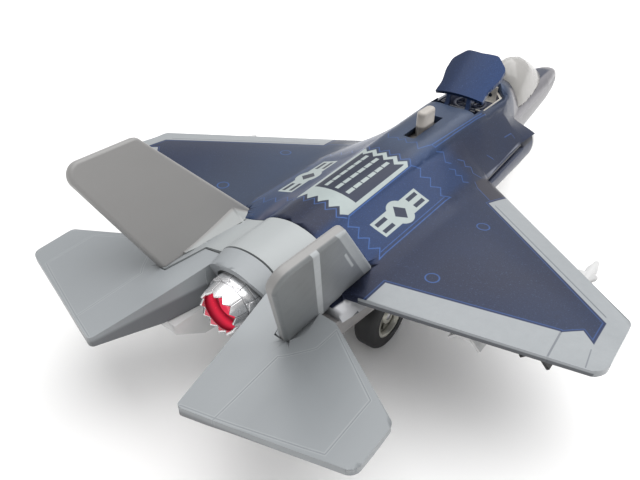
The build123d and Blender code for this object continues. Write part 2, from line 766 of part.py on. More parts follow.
with BuildPart() as nozzle_petals:
    loft(
        sections=[
            faceted(nozzle_front, nozzle_front_r + ring_over, 0), faceted(ring_rear, nozzle_front_r, 0),
        ],
    )
    add(saw_rim(ring_rear, nozzle_front_r, 0, 0.9), mode=Mode.SUBTRACT)
    loft(
        sections=[
            faceted(nozzle_front, nozzle_front_r, petal_step / 2),
            faceted(nozzle_rim, nozzle_rim_r, petal_step / 2),
        ],
    )
    add(saw_rim(nozzle_rim, nozzle_rim_r, petal_step / 2, 1.2), mode=Mode.SUBTRACT)
    # Hollow: wide over the ball, a land for the lens, then the flare.
    with BuildSketch(Plane.YZ):
        with BuildLine():
            front = y_at(nozzle_front)
            rear = y_at(nozzle_rim)
            Polyline(
                (front - 0.1, nozzle_pivot_z), (front - 0.1, nozzle_pivot_z + 6.74),
                (front + 1.9, nozzle_pivot_z + 6.3), (front + 1.9, nozzle_pivot_z + 4.6),
                (front + 2.4, nozzle_pivot_z + 4.6), (front + 3.0, nozzle_pivot_z + 5.3),
                (rear + 0.2, nozzle_pivot_z + nozzle_rim_r - 0.75), (rear + 0.2, nozzle_pivot_z),
                close=True,
            )
        make_face()
    revolve(axis=nozzle_axis, mode=Mode.SUBTRACT)

with BuildPart() as nozzle_lens:
    rod_y(4.55, nozzle_pivot_s + 1.0, nozzle_front + 1.85, 0, nozzle_pivot_z)
    with BuildSketch(Plane.YZ):
        with BuildLine():
            Polyline(
                (front + 1.8, nozzle_pivot_z), (front + 1.8, nozzle_pivot_z + 4.5),
                (front + 3.0, nozzle_pivot_z + 4.4), (front + 4.3, nozzle_pivot_z + 2.6),
                (front + 4.7, nozzle_pivot_z), close=True,
            )
        make_face()
    revolve(axis=nozzle_axis)

# ---------------------------------------------------------------- fan door and its drive
door_shut = Axis((0, y_at(door_hinge_s), door_hinge_z), (1, 0, 0))
heel_turn = radians(door_open - door_heel_lead)
heel_s = door_hinge_s + heel_radius * sin(heel_turn)
heel_z = door_hinge_z - heel_radius * cos(heel_turn)
hub_r = 1.0

with BuildPart() as door_flat:
    add(arched(door_top_z, 30, door_front - 1, door_rear + 1))
    add(arched(door_under_z, 29, door_front - 2, door_rear + 2), mode=Mode.SUBTRACT)
    with BuildSketch(Plane.XY.offset(30)):
        with BuildLine():
            half_outline = [
                (door_rear_half, door_rear), (door_rear_half - 0.3, door_front + 13.6),
                (door_half, door_front + 8.2), (door_half, door_front + 3.6), (5.4, door_front),
            ]
            hollow = (0, door_front + 0.6)
            corners = [*half_outline, hollow, *[(-x, s) for x, s in reversed(half_outline)]]
            FilletPolyline(
                *[(x, y_at(s)) for x, s in corners],
                radius=[6, 6, 2.6, 2.2, 8, 2.2, 2.6, 6, 6], close=False,
            )
            Line((-door_rear_half, y_at(door_rear)), (door_rear_half, y_at(door_rear)))
        make_face()
    extrude(amount=20, mode=Mode.INTERSECT)

with BuildPart() as bracket_flat:
    for side in (-1, 1):
        with BuildSketch(along(side * (arm_in + arm_out) / 2)):
            # Pad under the door and the neck that ducks under the deck.
            with BuildLine():
                Polyline(
                    (y_at(door_rear - 9.0), 39.9), (y_at(door_rear - 7.5), 38.5), (y_at(door_rear), 38.3),
                    (y_at(door_rear + 1.0), 36.4), (y_at(door_hinge_s), door_hinge_z - 0.95),
                    (y_at(door_hinge_s), door_hinge_z + 0.95), (y_at(door_rear + 1.6), 37.5),
                    (y_at(door_rear - 0.2), 39.9), close=True,
                )
            make_face()
            with Locations((y_at(door_hinge_s), door_hinge_z)):
                Circle(hub_r)
            # Heel that reaches down to the slider.
            SlotCenterPoint(
                (y_at((door_hinge_s + heel_s) / 2), (door_hinge_z + heel_z) / 2), (y_at(heel_s), heel_z),
                2 * hub_r - 0.2,
            )
        extrude(amount=(arm_out - arm_in) / 2, both=True)
    rod_x(heel_bar_r, -arm_in, arm_in, heel_s, heel_z)
    rod_x(hinge_pin_r + running, -10, 10, door_hinge_s, door_hinge_z, mode=Mode.SUBTRACT)
    add(door_flat.part, mode=Mode.SUBTRACT)

fan_door = door_flat.part.rotate(door_shut, -door_open)
door_bracket = bracket_flat.part.rotate(door_shut, -door_open)

with BuildPart() as door_hinge_pin:
    rod_x(hinge_pin_r, -hinge_pin_half, hinge_pin_half, door_hinge_s, door_hinge_z)

slide_z = 36.6
slide_thick = 1.2
slide_half = 3.5
tongue_half = 1.5
tongue_z = 31.6
step_front = 96.9  # where the slider steps down to pass under the hinge pin
fork_s = door_hinge_s - heel_radius * sin(radians(door_heel_lead))
fork_slot = heel_bar_r + 0.2
fork_half = 1.9
with BuildPart() as door_slider:
    block(-slide_half, slide_half, 100, 117, slide_z, slide_z + slide_thick)
    block(-tongue_half, tongue_half, step_front, 100, slide_z, slide_z + slide_thick)
    block(-tongue_half, tongue_half, step_front, step_front + 1.4, tongue_z, slide_z)
    block(-tongue_half, tongue_half, fork_s, step_front + 1.4, tongue_z, tongue_z + slide_thick)
    block(-tongue_half, tongue_half, fork_s - fork_half, fork_s + fork_half, 26.2, tongue_z + slide_thick)
    block(-2, 2, fork_s - fork_slot, fork_s + fork_slot, 26, tongue_z - 1.0, mode=Mode.SUBTRACT)
    with BuildSketch(Plane.XY.offset(slide_z + slide_thick - 0.1)):
        with Locations((0, y_at(knob_front + knob_length / 2))):
            SlotOverall(knob_length, knob_width, rotation=90)
    extrude(amount=knob_top - slide_z - slide_thick + 0.1)
    crest = door_slider.faces().sort_by(Axis.Z)[-1]
    fillet(crest.edges(), 0.9)

guide_top = 36.4
guide_front = 99.2
guide_rear = 123.2
with BuildPart() as slider_guide:
    block(-6, 6, guide_front, guide_rear, guide_top - 1.2, guide_top)
    for side in (-1, 1):
        block(side * 3.8, side * 5.2, guide_front, guide_rear, guide_top, 38.0)
    block(-5.2, 5.2, guide_rear - 0.9, guide_rear, guide_top, 38.0)
    notch = tongue_half + 0.4
    block(-notch, notch, guide_front - 1, 103.6, 34, guide_top + 1, mode=Mode.SUBTRACT)
    rod_z(1.2, 35.0, 36.6, 0, 112, mode=Mode.SUBTRACT)

# ---------------------------------------------------------------- lift fan in its tub
tub_top = 38.2
tub_rear = pocket_front - 0.3
tub_wall = 0.8
blades = 10
with BuildPart() as lift_fan:
    extrude(cut_polygon(well_floor, *well_outline(slip, tub_rear)), amount=tub_top - well_floor)
    extrude(
        cut_polygon(well_floor + 1.3, *well_outline(slip + tub_wall, tub_rear - tub_wall)),
        amount=tub_top, mode=Mode.SUBTRACT,
    )
    # The front wall stands higher, the rear one is notched for the door's arms.
    block(-4.0, 4.0, well_front + slip, well_front + slip + tub_wall, well_floor, 40.0)
    block(-arm_out - 0.5, arm_out + 0.5, tub_rear - 2, tub_rear + 1, 37.4, 42, mode=Mode.SUBTRACT)
    rod_y(0.9, well_front, well_front + 2, -1.6, 36.9, mode=Mode.SUBTRACT)
    rod_z(fan_r + 0.7, well_floor, 37.2, 0, fan_s)
    rod_z(fan_r - 0.2, well_floor - 1, 40, 0, fan_s, mode=Mode.SUBTRACT)
    rod_z(1.3, well_floor, 37.6, 0, fan_s)
    for i in range(blades):
        with Locations(
            Location((0, y_at(fan_s), 35.6), (0, 0, 360 / blades * i)) * Location((3.1, 0, 0), (38, 0, 0))
        ):
            Box(3.8, 0.5, 2.4)

# ---------------------------------------------------------------- canopy and cockpit
def bubble(station, half, crown, foot):
    """A section of the canopy."""
    rise = crown - foot
    brow = (0.48 * half, crown - 0.14 * rise)
    cheek = (0.81 * half, crown - 0.46 * rise)
    return top_section(station, (0, crown), brow, cheek, (half, foot))


canopy_front = 17.8
canopy_wall = 0.8
bubbles = [  # station, half width, crown
    (21, 3.7, 33.0), (27, 5.5, 36.4), (34, 6.8, 40.3), (41, 7.8, 43.4), (47, 8.5, 44.7), (52, 8.9, 44.2),
    (canopy_rear - 1.5, 9.1, 42.4),
]
with BuildPart() as canopy:
    loft(
        sections=[
            bubble(canopy_front, 1.6, 31.2, 28.4),
            *[bubble(s, half, crown, 28.4) for s, half, crown in bubbles],
            bubble(canopy_rear - 0.2, 9.1, 40.3, 28.4),
        ],
        ruled=True,
    )
    loft(
        sections=[
            bubble(canopy_front + 1.6, 1.3, 30.8, 28.0),
            *[bubble(s, half - canopy_wall, crown - canopy_wall - 0.1, 28.0) for s, half, crown in bubbles],
            bubble(canopy_rear - 1.0, 8.3, 40.7, 28.0),
        ],
        ruled=True,
        mode=Mode.SUBTRACT,
    )
    add(forebody.part, mode=Mode.SUBTRACT)

tub_outline = symmetric((2.85, cockpit_front + 0.15), (5.4, cockpit_rear - 0.15))
tub_room = symmetric((2.0, cockpit_front + 1.0), (4.6, cockpit_rear - 1.0))
with BuildPart() as cockpit_tub:
    extrude(cut_polygon(24.6, *tub_outline), amount=5.5)
    extrude(cut_polygon(25.6, *tub_room), amount=10, mode=Mode.SUBTRACT)
    extrude(side_profile(-2.6, (25.6, 25.6), (30.5, 25.6), (29.5, 30.6), (26.4, 31.6)), amount=5.2)
    with Locations((0, y_at(36.5), 27.4)):
        Cylinder(0.35, 4.4)

with BuildPart() as pilot_seat:
    extrude(
        side_profile(
            -2.3, (39.5, 25.6), (47.2, 25.6), (48.6, 37.2), (46.8, 38.0), (45.6, 36.6), (44.6, 28.6),
            (39.5, 28.0),
        ),
        amount=4.6,
    )
    for side in (-1, 1):
        block(side * 1.9, side * 3.0, 40.5, 46.0, 25.6, 30.2)
    block(-1.5, 1.5, 44.8, 46.0, 34.0, 37.4)

# ---------------------------------------------------------------- wheels
def tyre(width, radius, bore, outer_x, station):
    """A tyre with rounded shoulders, its outer face at X."""
    with BuildPart() as body:
        rod_x(radius, outer_x - width, outer_x, station, radius)
        fillet(body.edges(), min(1.5, width * 0.3))
        rod_x(bore, outer_x - width - 1, outer_x + 1, station, radius, mode=Mode.SUBTRACT)
    return body.part


def rim(width, radius, centre_z, bore, outer_x, station, spokes):
    """A spoked rim, its outer face at X."""
    deep = width - 0.6
    with BuildPart() as body:
        rod_x(radius, outer_x - deep, outer_x, station, centre_z)
        rod_x(radius * 0.84, outer_x - 1.6, outer_x + 1, station, centre_z, mode=Mode.SUBTRACT)
        rod_x(radius * 0.84, outer_x - deep - 1, outer_x - 2.6, station, centre_z, mode=Mode.SUBTRACT)
        rod_x(radius * 0.34, outer_x - deep, outer_x - 0.5, station, centre_z)
        wheel = Plane(origin=(outer_x - 2.7, y_at(station), centre_z), x_dir=(0, 1, 0), z_dir=(1, 0, 0))
        with BuildSketch(wheel):
            with PolarLocations(radius * 0.6, spokes):
                Polygon(
                    (-radius * 0.19, radius * 0.06), (radius * 0.2, radius * 0.16),
                    (radius * 0.2, -radius * 0.16), (-radius * 0.19, -radius * 0.06), align=None,
                )
        extrude(amount=1.3, mode=Mode.SUBTRACT)
        rod_x(bore, outer_x - deep - 1, outer_x + 1, station, centre_z, mode=Mode.SUBTRACT)
    return body.part


tyre_port = tyre(main_wheel_width, main_wheel_r, main_rim_r, main_wheel_outer_x, main_wheel_s)
rim_port = rim(main_wheel_width, main_rim_r, main_wheel_r, axle_r, main_wheel_outer_x - 0.3, main_wheel_s, 10)
tyre_starboard = mirror(tyre_port, about=Plane.YZ)
rim_starboard = mirror(rim_port, about=Plane.YZ)

with BuildPart() as main_axle:
    rod_x(axle_r, -20.6, 20.6, main_wheel_s, main_wheel_r)
    chamfer(main_axle.edges(), 0.25)

# ---------------------------------------------------------------- pull-back motor
gear_module = 0.5
pinion_teeth = 10
spring_teeth = 24
gear_gap = 0.06
gear_centres = gear_module * (pinion_teeth + spring_teeth) / 2 + gear_gap
spring_z = 14.5
spring_s = main_wheel_s - sqrt(gear_centres**2 - (spring_z - main_wheel_r) ** 2)
mesh_angle = degrees(atan2(spring_z - main_wheel_r, spring_s - main_wheel_s))


def gear(teeth, station, z, x0, x1, turn, bore):
    """A spur gear on an axle along X."""
    pitch_r = gear_module * teeth / 2
    half = gear_module * pi / 4 - 0.05
    tip = gear_module * 0.92
    with BuildPart() as wheel:
        with BuildSketch(Plane(origin=(x0, y_at(station), z), x_dir=(0, 1, 0), z_dir=(1, 0, 0))):
            Circle(pitch_r - gear_module * 1.2)
            with PolarLocations(pitch_r, teeth, start_angle=turn):
                Polygon(
                    (-tip - 0.3, half + 0.2), (0, half), (tip, half * 0.45), (tip, -half * 0.45),
                    (0, -half), (-tip - 0.3, -half - 0.2), align=None,
                )
            with Locations((0, 0)):
                Circle(bore, mode=Mode.SUBTRACT)
        extrude(amount=x1 - x0)
    return wheel.part


axle_pinion = gear(pinion_teeth, main_wheel_s, main_wheel_r, 2.8, 6.6, mesh_angle, axle_r)

with BuildPart() as spring_gear:
    add(gear(spring_teeth, spring_s, spring_z, 3.2, 6.2, mesh_angle + 180 + 180 / spring_teeth, 0.5))
    rod_x(0.9, -9.7, 9.7, spring_s, spring_z)
    rod_x(1.9, 6.2, 8.2, spring_s, spring_z)

with BuildPart() as spring_barrel:
    rod_x(5.7, -7.6, 2.8, spring_s, spring_z)
    rod_x(5.1, -8, 1.8, spring_s, spring_z, mode=Mode.SUBTRACT)
    rod_x(0.9, -8, 4, spring_s, spring_z, mode=Mode.SUBTRACT)

with BuildPart() as motor_case:
    block(-motor_half, motor_half, motor_front, motor_rear, motor_foot, motor_top)
    fillet(motor_case.edges().filter_by(Axis.X), 1.6)
    block(
        -motor_half + 1.2, motor_half - 1.2, motor_front + 1.2, motor_rear - 1.2, motor_foot + 1.0,
        motor_top - 1.2, mode=Mode.SUBTRACT,
    )
    rod_x(axle_r + running, -12, 12, main_wheel_s, main_wheel_r, mode=Mode.SUBTRACT)
    rod_x(0.9 + running, -12, 12, spring_s, spring_z, mode=Mode.SUBTRACT)
    for side in (-1, 1):
        block(side * motor_half, side * 12.4, motor_front + 2, motor_rear - 2, floor_z, floor_z + 1.4)

# ---------------------------------------------------------------- nose gear
with BuildPart() as nose_gear_leg:
    block(
        -leg_half, leg_half, nose_wheel_s - leg_length / 2, nose_wheel_s + leg_length / 2, 11.6,
        leg_top,
    )
    for side in (-1, 1):
        extrude(
            side_profile(
                side * (leg_half - (1.4 if side > 0 else 0)), (nose_wheel_s - 1.6, 3.4),
                (nose_wheel_s + 1.6, 3.4), (nose_wheel_s + 3.2, 12), (nose_wheel_s - 3.2, 12),
            ),
            amount=1.4,
        )
    rod_x(0.8 + running, -5, 5, nose_wheel_s, nose_wheel_r, mode=Mode.SUBTRACT)

nose_tyre = tyre(nose_wheel_width, nose_wheel_r, 2.9, nose_wheel_width / 2, nose_wheel_s)
with BuildPart() as nose_rim:
    rod_x(2.9, -1.8, 1.8, nose_wheel_s, nose_wheel_r)
    for side in (-1, 1):
        rod_x(2.3, side * 1.2, side * 3, nose_wheel_s, nose_wheel_r, mode=Mode.SUBTRACT)
    rod_x(0.8, -3, 3, nose_wheel_s, nose_wheel_r, mode=Mode.SUBTRACT)
with BuildPart() as nose_axle:
    rod_x(0.8, -4.3, 4.3, nose_wheel_s, nose_wheel_r)
    chamfer(nose_axle.edges(), 0.2)

# ---------------------------------------------------------------- battery, board, speaker, lamp
with BuildPart() as battery_cover:
    block(-bay_half + 0.2, bay_half - 0.2, bay_front + 0.2, bay_rear - 0.2, 12.9, floor_z)
    block(-3.0, 3.0, bay_rear - 0.4, cover_screw_s + 2.8, 12.9, floor_z)
    rod_z(0.9, 10, 16, 0, cover_screw_s, mode=Mode.SUBTRACT)
    rod_z(1.7, 12, 13.7, 0, cover_screw_s, mode=Mode.SUBTRACT)
    with Locations(*[(0, y_at(s), 12.9) for s in (89, 90.6, 92.2, 93.8)]):
        Box(8, 0.7, 0.8, mode=Mode.SUBTRACT)


def screw(x, station, head_z, head_r, head_t, tip_z, radius):
    """A screw that points up, with a cross recess in its head."""
    with BuildPart() as body:
        rod_z(head_r, head_z, head_z + head_t, x, station)
        rod_z(radius, head_z + head_t, tip_z, x, station)
        with Locations((x, y_at(station), head_z)):
            Box(head_r * 1.2, 0.4, 0.9, mode=Mode.SUBTRACT)
            Box(0.4, head_r * 1.2, 0.9, mode=Mode.SUBTRACT)
    return body.part


cover_screw = screw(0, cover_screw_s, 12.9, 1.55, 0.8, 19.0, 0.75)
with BuildPart() as hull_screws:
    for x, s in screw_places:
        add(screw(x, s, 16.6, 1.75, 1.4, boss_roof[s] - 1.4, screw_r))


def button_cell(place):
    """A button cell, its smaller pole up."""
    with BuildPart() as cell:
        rod_z(5.8, floor_z + 0.1, 19.8, 0, place)
        chamfer(cell.edges(), 0.3)
        rod_z(5.0, 19.8, 20.1, 0, place)
    return cell.part


with BuildPart() as battery_contacts:
    block(-3, 3, 87, 121, tray_top, tray_top + 0.4)
    for place in cell_places:
        rod_z(2.0, 20.15, tray_top, 0, place)

with BuildPart() as circuit_board:
    block(-9.5, 9.5, 124, 140, 21.4, 22.6)
    block(-3.5, 3.5, 128, 134, 22.6, 23.8)
    for x in (-7.5, 7.5):
        rod_z(1.4, 22.6, 25.6, x, 137)
        rod_z(1.0, 16.0, 21.4, x * 0.95, 139.2)

with BuildPart() as speaker:
    rod_z(speaker_r, floor_z, 16.6, 0, speaker_s)
    rod_z(3.6, 16.6, 18.4, 0, speaker_s)

with BuildPart() as led_lamp:
    rod_y(lamp_r, 174, 178.6, 0, nozzle_pivot_z)
    rod_y(lamp_r + 0.4, 174, 175, 0, nozzle_pivot_z)
    with Locations((0, y_at(178.6), nozzle_pivot_z)):
        Sphere(lamp_r)
    for x in (-0.8, 0.8):
        rod_y(0.22, 168, 174, x, nozzle_pivot_z)

# ---------------------------------------------------------------- stores under the wings
pylon_z = 29.6
inner_x = 44.5
inner_z = 24.2
inner_r = 2.9
outer_x = wing_half_span - 13.6
outer_z = 24.0
outer_r = 1.35


def pylon(x, front, rear, foot_z, half):
    """A tapered pylon that ends at the wing's underside."""
    with BuildPart() as body:
        with BuildSketch(Plane.XY.offset(foot_z)):
            with BuildLine():
                Spline(
                    (x, y_at(front)), (x + half, y_at(front + 0.35 * (rear - front))), (x, y_at(rear)),
                    (x - half, y_at(front + 0.35 * (rear - front))), periodic=True,
                )
            make_face()
        extrude(amount=pylon_z - foot_z + 1.6)
        add(wing.part, mode=Mode.SUBTRACT)
        block(x - 5, x + 5, front - 5, rear + 5, pylon_z - 0.3, 40, mode=Mode.SUBTRACT)
    return body.part


def store(x, z, radius, front, rear, nose, tail):
    """A store with a pointed nose and a boat tail."""
    with BuildPart() as body:
        with BuildSketch(along(x)):
            with BuildLine():
                Spline(
                    (y_at(front), z), (y_at(front + 0.35 * nose), z + 0.62 * radius),
                    (y_at(front + nose), z + radius), tangents=((0.3, 1), (1, 0)),
                )
                Polyline(
                    (y_at(front + nose), z + radius), (y_at(rear - tail), z + radius),
                    (y_at(rear), z + 0.6 * radius), (y_at(rear), z), (y_at(front), z),
                )
            make_face()
        revolve(axis=Axis((x, 0, z), (0, 1, 0)))
    return body.part


def cross_fins(x, z, radius, span, front, rear, sweep, thick, turn):
    """Four swept fins set around a store."""
    with BuildPart() as body:
        for i in range(4):
            plane = Plane(
                origin=(x, 0, z), x_dir=(0, 1, 0),
                z_dir=(cos(radians(turn + 90 * i)), 0, sin(radians(turn + 90 * i))),
            )
            with BuildSketch(plane):
                with BuildLine():
                    Polyline(
                        (y_at(front), radius - 0.2), (y_at(front + sweep), span), (y_at(rear), span),
                        (y_at(rear), radius - 0.2), close=True,
                    )
                make_face()
            extrude(amount=thick / 2, both=True)
    return body.part


inner_pylon = pylon(inner_x, 134, 156, inner_z + inner_r * 0.6, 1.5)
outer_pylon = pylon(outer_x, 138, 152, outer_z + outer_r * 0.6, 1.1)

with BuildPart() as inner_store:
    add(store(inner_x, inner_z, inner_r, 126, 165, 12, 5))
    add(cross_fins(inner_x, inner_z, inner_r * 0.75, 5.2, 157, 164.6, 3.5, 0.7, 45))
    add(inner_pylon, mode=Mode.SUBTRACT)

with BuildPart() as outer_missile:
    add(store(outer_x, outer_z, outer_r, 121, 161.5, 5, 0.6))
    add(cross_fins(outer_x, outer_z, outer_r, 4.4, 152.8, 160.6, 3.2, 0.7, 45))
    add(cross_fins(outer_x, outer_z, outer_r, 3.2, 128, 132, 2.4, 0.6, 45))
    add(outer_pylon, mode=Mode.SUBTRACT)

pieces = {
    "upper_hull": upper_hull.part,
    "lower_hull": lower_hull.part,
    "tail_deck": tail_deck.part,
    "fin_port": fin_port,
    "fin_starboard": fin_starboard,
    "tail_frame": tail_frame.part,
    "canopy": canopy.part,
    "cockpit_tub": cockpit_tub.part,
    "pilot_seat": pilot_seat.part,
    "lift_fan": lift_fan.part,
    "fan_door": fan_door,
    "door_bracket": door_bracket,
    "door_hinge_pin": door_hinge_pin.part,
    "door_slider": door_slider.part,
    "slider_guide": slider_guide.part,
    "nozzle_collar": nozzle_collar.part,
    "nozzle_petals": nozzle_petals.part,
    "nozzle_lens": nozzle_lens.part,
    "tyre_port": tyre_port,
    "tyre_starboard": tyre_starboard,
    "rim_port": rim_port,
    "rim_starboard": rim_starboard,
    "main_axle": main_axle.part,
    "axle_pinion": axle_pinion,
    "spring_gear": spring_gear.part,
    "spring_barrel": spring_barrel.part,
    "motor_case": motor_case.part,
    "nose_gear_leg": nose_gear_leg.part,
    "nose_tyre": nose_tyre,
    "nose_rim": nose_rim.part,
    "nose_axle": nose_axle.part,
    "battery_cover": battery_cover.part,
    "battery_cell_front": button_cell(cell_places[0]),
    "battery_cell_middle": button_cell(cell_places[1]),
    "battery_cell_rear": button_cell(cell_places[2]),
    "battery_contacts": battery_contacts.part,
    "circuit_board": circuit_board.part,
    "speaker": speaker.part,
    "led_lamp": led_lamp.part,
    "cover_screw": cover_screw,
    "hull_screws": hull_screws.part,
    "inner_pylon_port": inner_pylon,
    "outer_pylon_port": outer_pylon,
    "inner_store_port": inner_store.part,
    "outer_missile_port": outer_missile.part,
}
for name in list(pieces):
    if name.endswith("_port") and name.replace("_port", "_starboard") not in pieces:
        pieces[name.replace("_port", "_starboard")] = mirror(pieces[name], about=Plane.YZ)
for name, piece in pieces.items():
    write(piece, name)
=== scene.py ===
import json
import math

import bpy
from mathutils import Matrix, Vector


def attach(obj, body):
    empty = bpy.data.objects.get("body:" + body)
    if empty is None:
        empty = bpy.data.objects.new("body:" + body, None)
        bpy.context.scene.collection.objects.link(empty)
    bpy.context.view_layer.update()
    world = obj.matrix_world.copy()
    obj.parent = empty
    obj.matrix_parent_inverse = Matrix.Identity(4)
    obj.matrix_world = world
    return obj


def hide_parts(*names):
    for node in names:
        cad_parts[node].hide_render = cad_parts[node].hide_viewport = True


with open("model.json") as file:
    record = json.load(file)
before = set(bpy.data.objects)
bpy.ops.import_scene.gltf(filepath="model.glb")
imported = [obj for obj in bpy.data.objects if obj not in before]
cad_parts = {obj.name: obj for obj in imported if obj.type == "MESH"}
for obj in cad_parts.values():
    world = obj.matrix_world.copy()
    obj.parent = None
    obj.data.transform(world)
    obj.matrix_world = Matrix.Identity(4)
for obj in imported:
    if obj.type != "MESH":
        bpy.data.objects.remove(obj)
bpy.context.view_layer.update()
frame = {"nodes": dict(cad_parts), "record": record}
nodes = frame["nodes"]

# A die-cast toy jet. Metres. The nose points to -Y, up is +Z, port is +X, the ground is Z = 0.
MM = 0.001
LENGTH = 218 * MM
NOZZLE_Z = 26.4  # mm, height of the nozzle's axis
NOZZLE_FRONT = 187.9  # mm, station where its petals begin
NOZZLE_RADIUS = 6.4  # mm, at the petals
PETAL_ARC = math.radians(30) * NOZZLE_RADIUS


def y_at(station):
    """Y of a station, the distance in mm aft of the nose tip."""
    return station * MM - LENGTH / 2


# ---------------------------------------------------------------- camera
EYE = Vector((-77.35, 147.93, 114.47)) * MM
LOOK = Vector((0.5060, -0.6402, -0.5781))
IMAGE_WIDTH = 640
FOCAL_PIXELS = 592.93
SENSOR = 36.0

bpy.ops.object.select_all(action="DESELECT")
camera_data = bpy.data.cameras.new("camera")
camera_data.sensor_width = SENSOR
camera_data.lens = SENSOR * FOCAL_PIXELS / IMAGE_WIDTH
camera_data.clip_start = 5 * MM
camera = bpy.data.objects.new("camera", camera_data)
camera.location = EYE
camera.rotation_euler = LOOK.to_track_quat("-Z", "Y").to_euler()
bpy.context.scene.collection.objects.link(camera)
bpy.context.scene.camera = camera
bpy.context.scene.view_settings.view_transform = "Standard"


# ---------------------------------------------------------------- shader maths
class Field:
    """A value that varies over a surface, used in Python expressions."""

    def __init__(self, finish, socket):
        self.finish = finish
        self.socket = socket

    def math(self, operation, *values, clamp=False):
        settings = {"operation": operation, "use_clamp": clamp}
        return self.finish.node("ShaderNodeMath", settings, *values)

    def __add__(self, other):
        return self.math("ADD", self, other)

    def __sub__(self, other):
        return self.math("SUBTRACT", self, other)

    def __rsub__(self, other):
        return self.math("SUBTRACT", other, self)

    def __mul__(self, other):
        return self.math("MULTIPLY", self, other)

    def __truediv__(self, other):
        return self.math("DIVIDE", self, other)

    def __abs__(self):
        return self.math("ABSOLUTE", self)

    __radd__ = __add__
    __rmul__ = __mul__

    def least(self, other):
        return self.math("MINIMUM", self, other)

    def most(self, other):
        return self.math("MAXIMUM", self, other)

    def root(self):
        return self.math("SQRT", self)

    def swing(self, span):
        """A triangle wave: rises from 0 to span and falls again."""
        return self.math("PINGPONG", self, span)

    def below(self, edge, soft):
        """1 where the value is under edge, 0 over it, with a soft step."""
        return self.finish.node(
            "ShaderNodeMapRange", {"interpolation_type": "SMOOTHSTEP"},
            self, edge - soft, edge + soft, 1.0, 0.0,
        )

    def above(self, edge, soft):
        return 1 - self.below(edge, soft)

    def near(self, centre, reach, soft):
        """1 within reach of centre, 0 further off."""
        return abs(self - centre).below(reach, soft)

    def between(self, low, high, soft):
        """1 from low to high, 0 outside."""
        return self.above(low, soft) * self.below(high, soft)


class Finish:
    """A material with one Principled shader, and the fields its looks are written in."""

    def __init__(self, name, **constants):
        self.material = bpy.data.materials.new(name)
        self.material.use_nodes = True
        self.tree = self.material.node_tree
        self.shader = self.tree.nodes["Principled BSDF"]
        for socket, value in constants.items():
            self.shader.inputs[socket.replace("_", " ")].default_value = value
        place = self.tree.nodes.new("ShaderNodeTexCoord").outputs["Object"]
        self.place = Field(self, place)
        split = self.tree.nodes.new("ShaderNodeSeparateXYZ")
        self.tree.links.new(place, split.inputs[0])
        # Places in millimetres: side is the distance from the middle, s the station.
        self.x = Field(self, split.outputs[0]) / MM
        self.s = Field(self, split.outputs[1]) / MM + LENGTH / 2 / MM
        self.z = Field(self, split.outputs[2]) / MM
        self.side = abs(self.x)
        self.plan = self.node("ShaderNodeCombineXYZ", {}, self.side, self.s)
        self.plan_x = self.node("ShaderNodeCombineXYZ", {}, self.x, self.s)

    def node(self, kind, settings, *values, out=0, **named):
        """Add a node: its settings first, then its sockets by order or by name."""
        made = self.tree.nodes.new(kind)
        for key, value in settings.items():
            setattr(made, key, value)
        sockets = [*zip(made.inputs, values), *((made.inputs[k], v) for k, v in named.items())]
        for socket, value in sockets:
            if isinstance(value, Field):
                self.tree.links.new(value.socket, socket)
            elif value is not None:
                socket.default_value = value
        return Field(self, made.outputs[out])

    def noise(self, scale, detail=2.0, rough=0.5, stretch=(1, 1, 1)):
        """Noise from 0 to 1; scale is in patches per millimetre."""
        sizes = [scale / MM * share for share in stretch]
        grid = self.node("ShaderNodeMapping", {}, Vector=self.place, Scale=sizes)
        return self.node(
            "ShaderNodeTexNoise", {}, Vector=grid, Scale=1.0, Detail=detail, Roughness=rough,
        )

    def vector(self, operation, *values, out=1, **named):
        settings = {"operation": operation}
        return self.node("ShaderNodeVectorMath", settings, *values, out=out, **named)

    def stroke(self, *points, plan=None):
        """Distance in mm from a line through points of the plan, seen from above."""
        nearest = None
        for start, end in zip(points, points[1:]):
            run = Vector((*end, 0)) - Vector((*start, 0))
            offset = self.vector("SUBTRACT", plan or self.plan, (*start, 0), out=0)
            share = self.vector("DOT_PRODUCT", offset, tuple(run / run.length_squared))
            share = share.math("MULTIPLY", share, 1.0, clamp=True)
            reached = self.vector("SCALE", tuple(run), out=0, Scale=share)
            gap = self.vector("DISTANCE", offset, reached)
            nearest = gap if nearest is None else nearest.least(gap)
        return nearest

    def spot(self, side, s):
        """Distance in mm from a place of the plan: a stroke too short to see."""
        return self.stroke((side, s - 0.05), (side, s + 0.05))

    def mix(self, share, low, high):
        """A colour between low and high."""
        made = self.tree.nodes.new("ShaderNodeMix")
        made.data_type = "RGBA"
        for index, value in ((0, share), (6, low), (7, high)):
            if isinstance(value, Field):
                self.tree.links.new(value.socket, made.inputs[index])
            else:
                made.inputs[index].default_value = value if index == 0 else (*value[:3], 1.0)
        return Field(self, made.outputs[2])

    def coats(self, colour, *layers):
        """Colours laid over one another, each as a pair: its share and itself."""
        for share, over in layers:
            colour = self.mix(share, colour, over)
        return colour

    def feed(self, **fields):
        """Link fields to the shader's sockets."""
        for socket, value in fields.items():
            self.tree.links.new(value.socket, self.shader.inputs[socket.replace("_", " ")])
        return self

    def bump(self, height, depth):
        """Relief of a height field whose 1 is depth millimetres deep; the last call counts."""
        made = self.tree.nodes.new("ShaderNodeBump")
        made.inputs["Strength"].default_value = 1.0
        made.inputs["Distance"].default_value = depth * MM
        self.tree.links.new(height.socket, made.inputs["Height"])
        self.tree.links.new(made.outputs[0], self.shader.inputs["Normal"])
        return self


def srgb(red, green, blue):
    """A colour given as it looks on screen, 0 to 255, made linear."""
    return tuple(
        v / 12.92 if v <= 0.04045 else ((v + 0.055) / 1.055) ** 2.4
        for v in (red / 255, green / 255, blue / 255)
    )


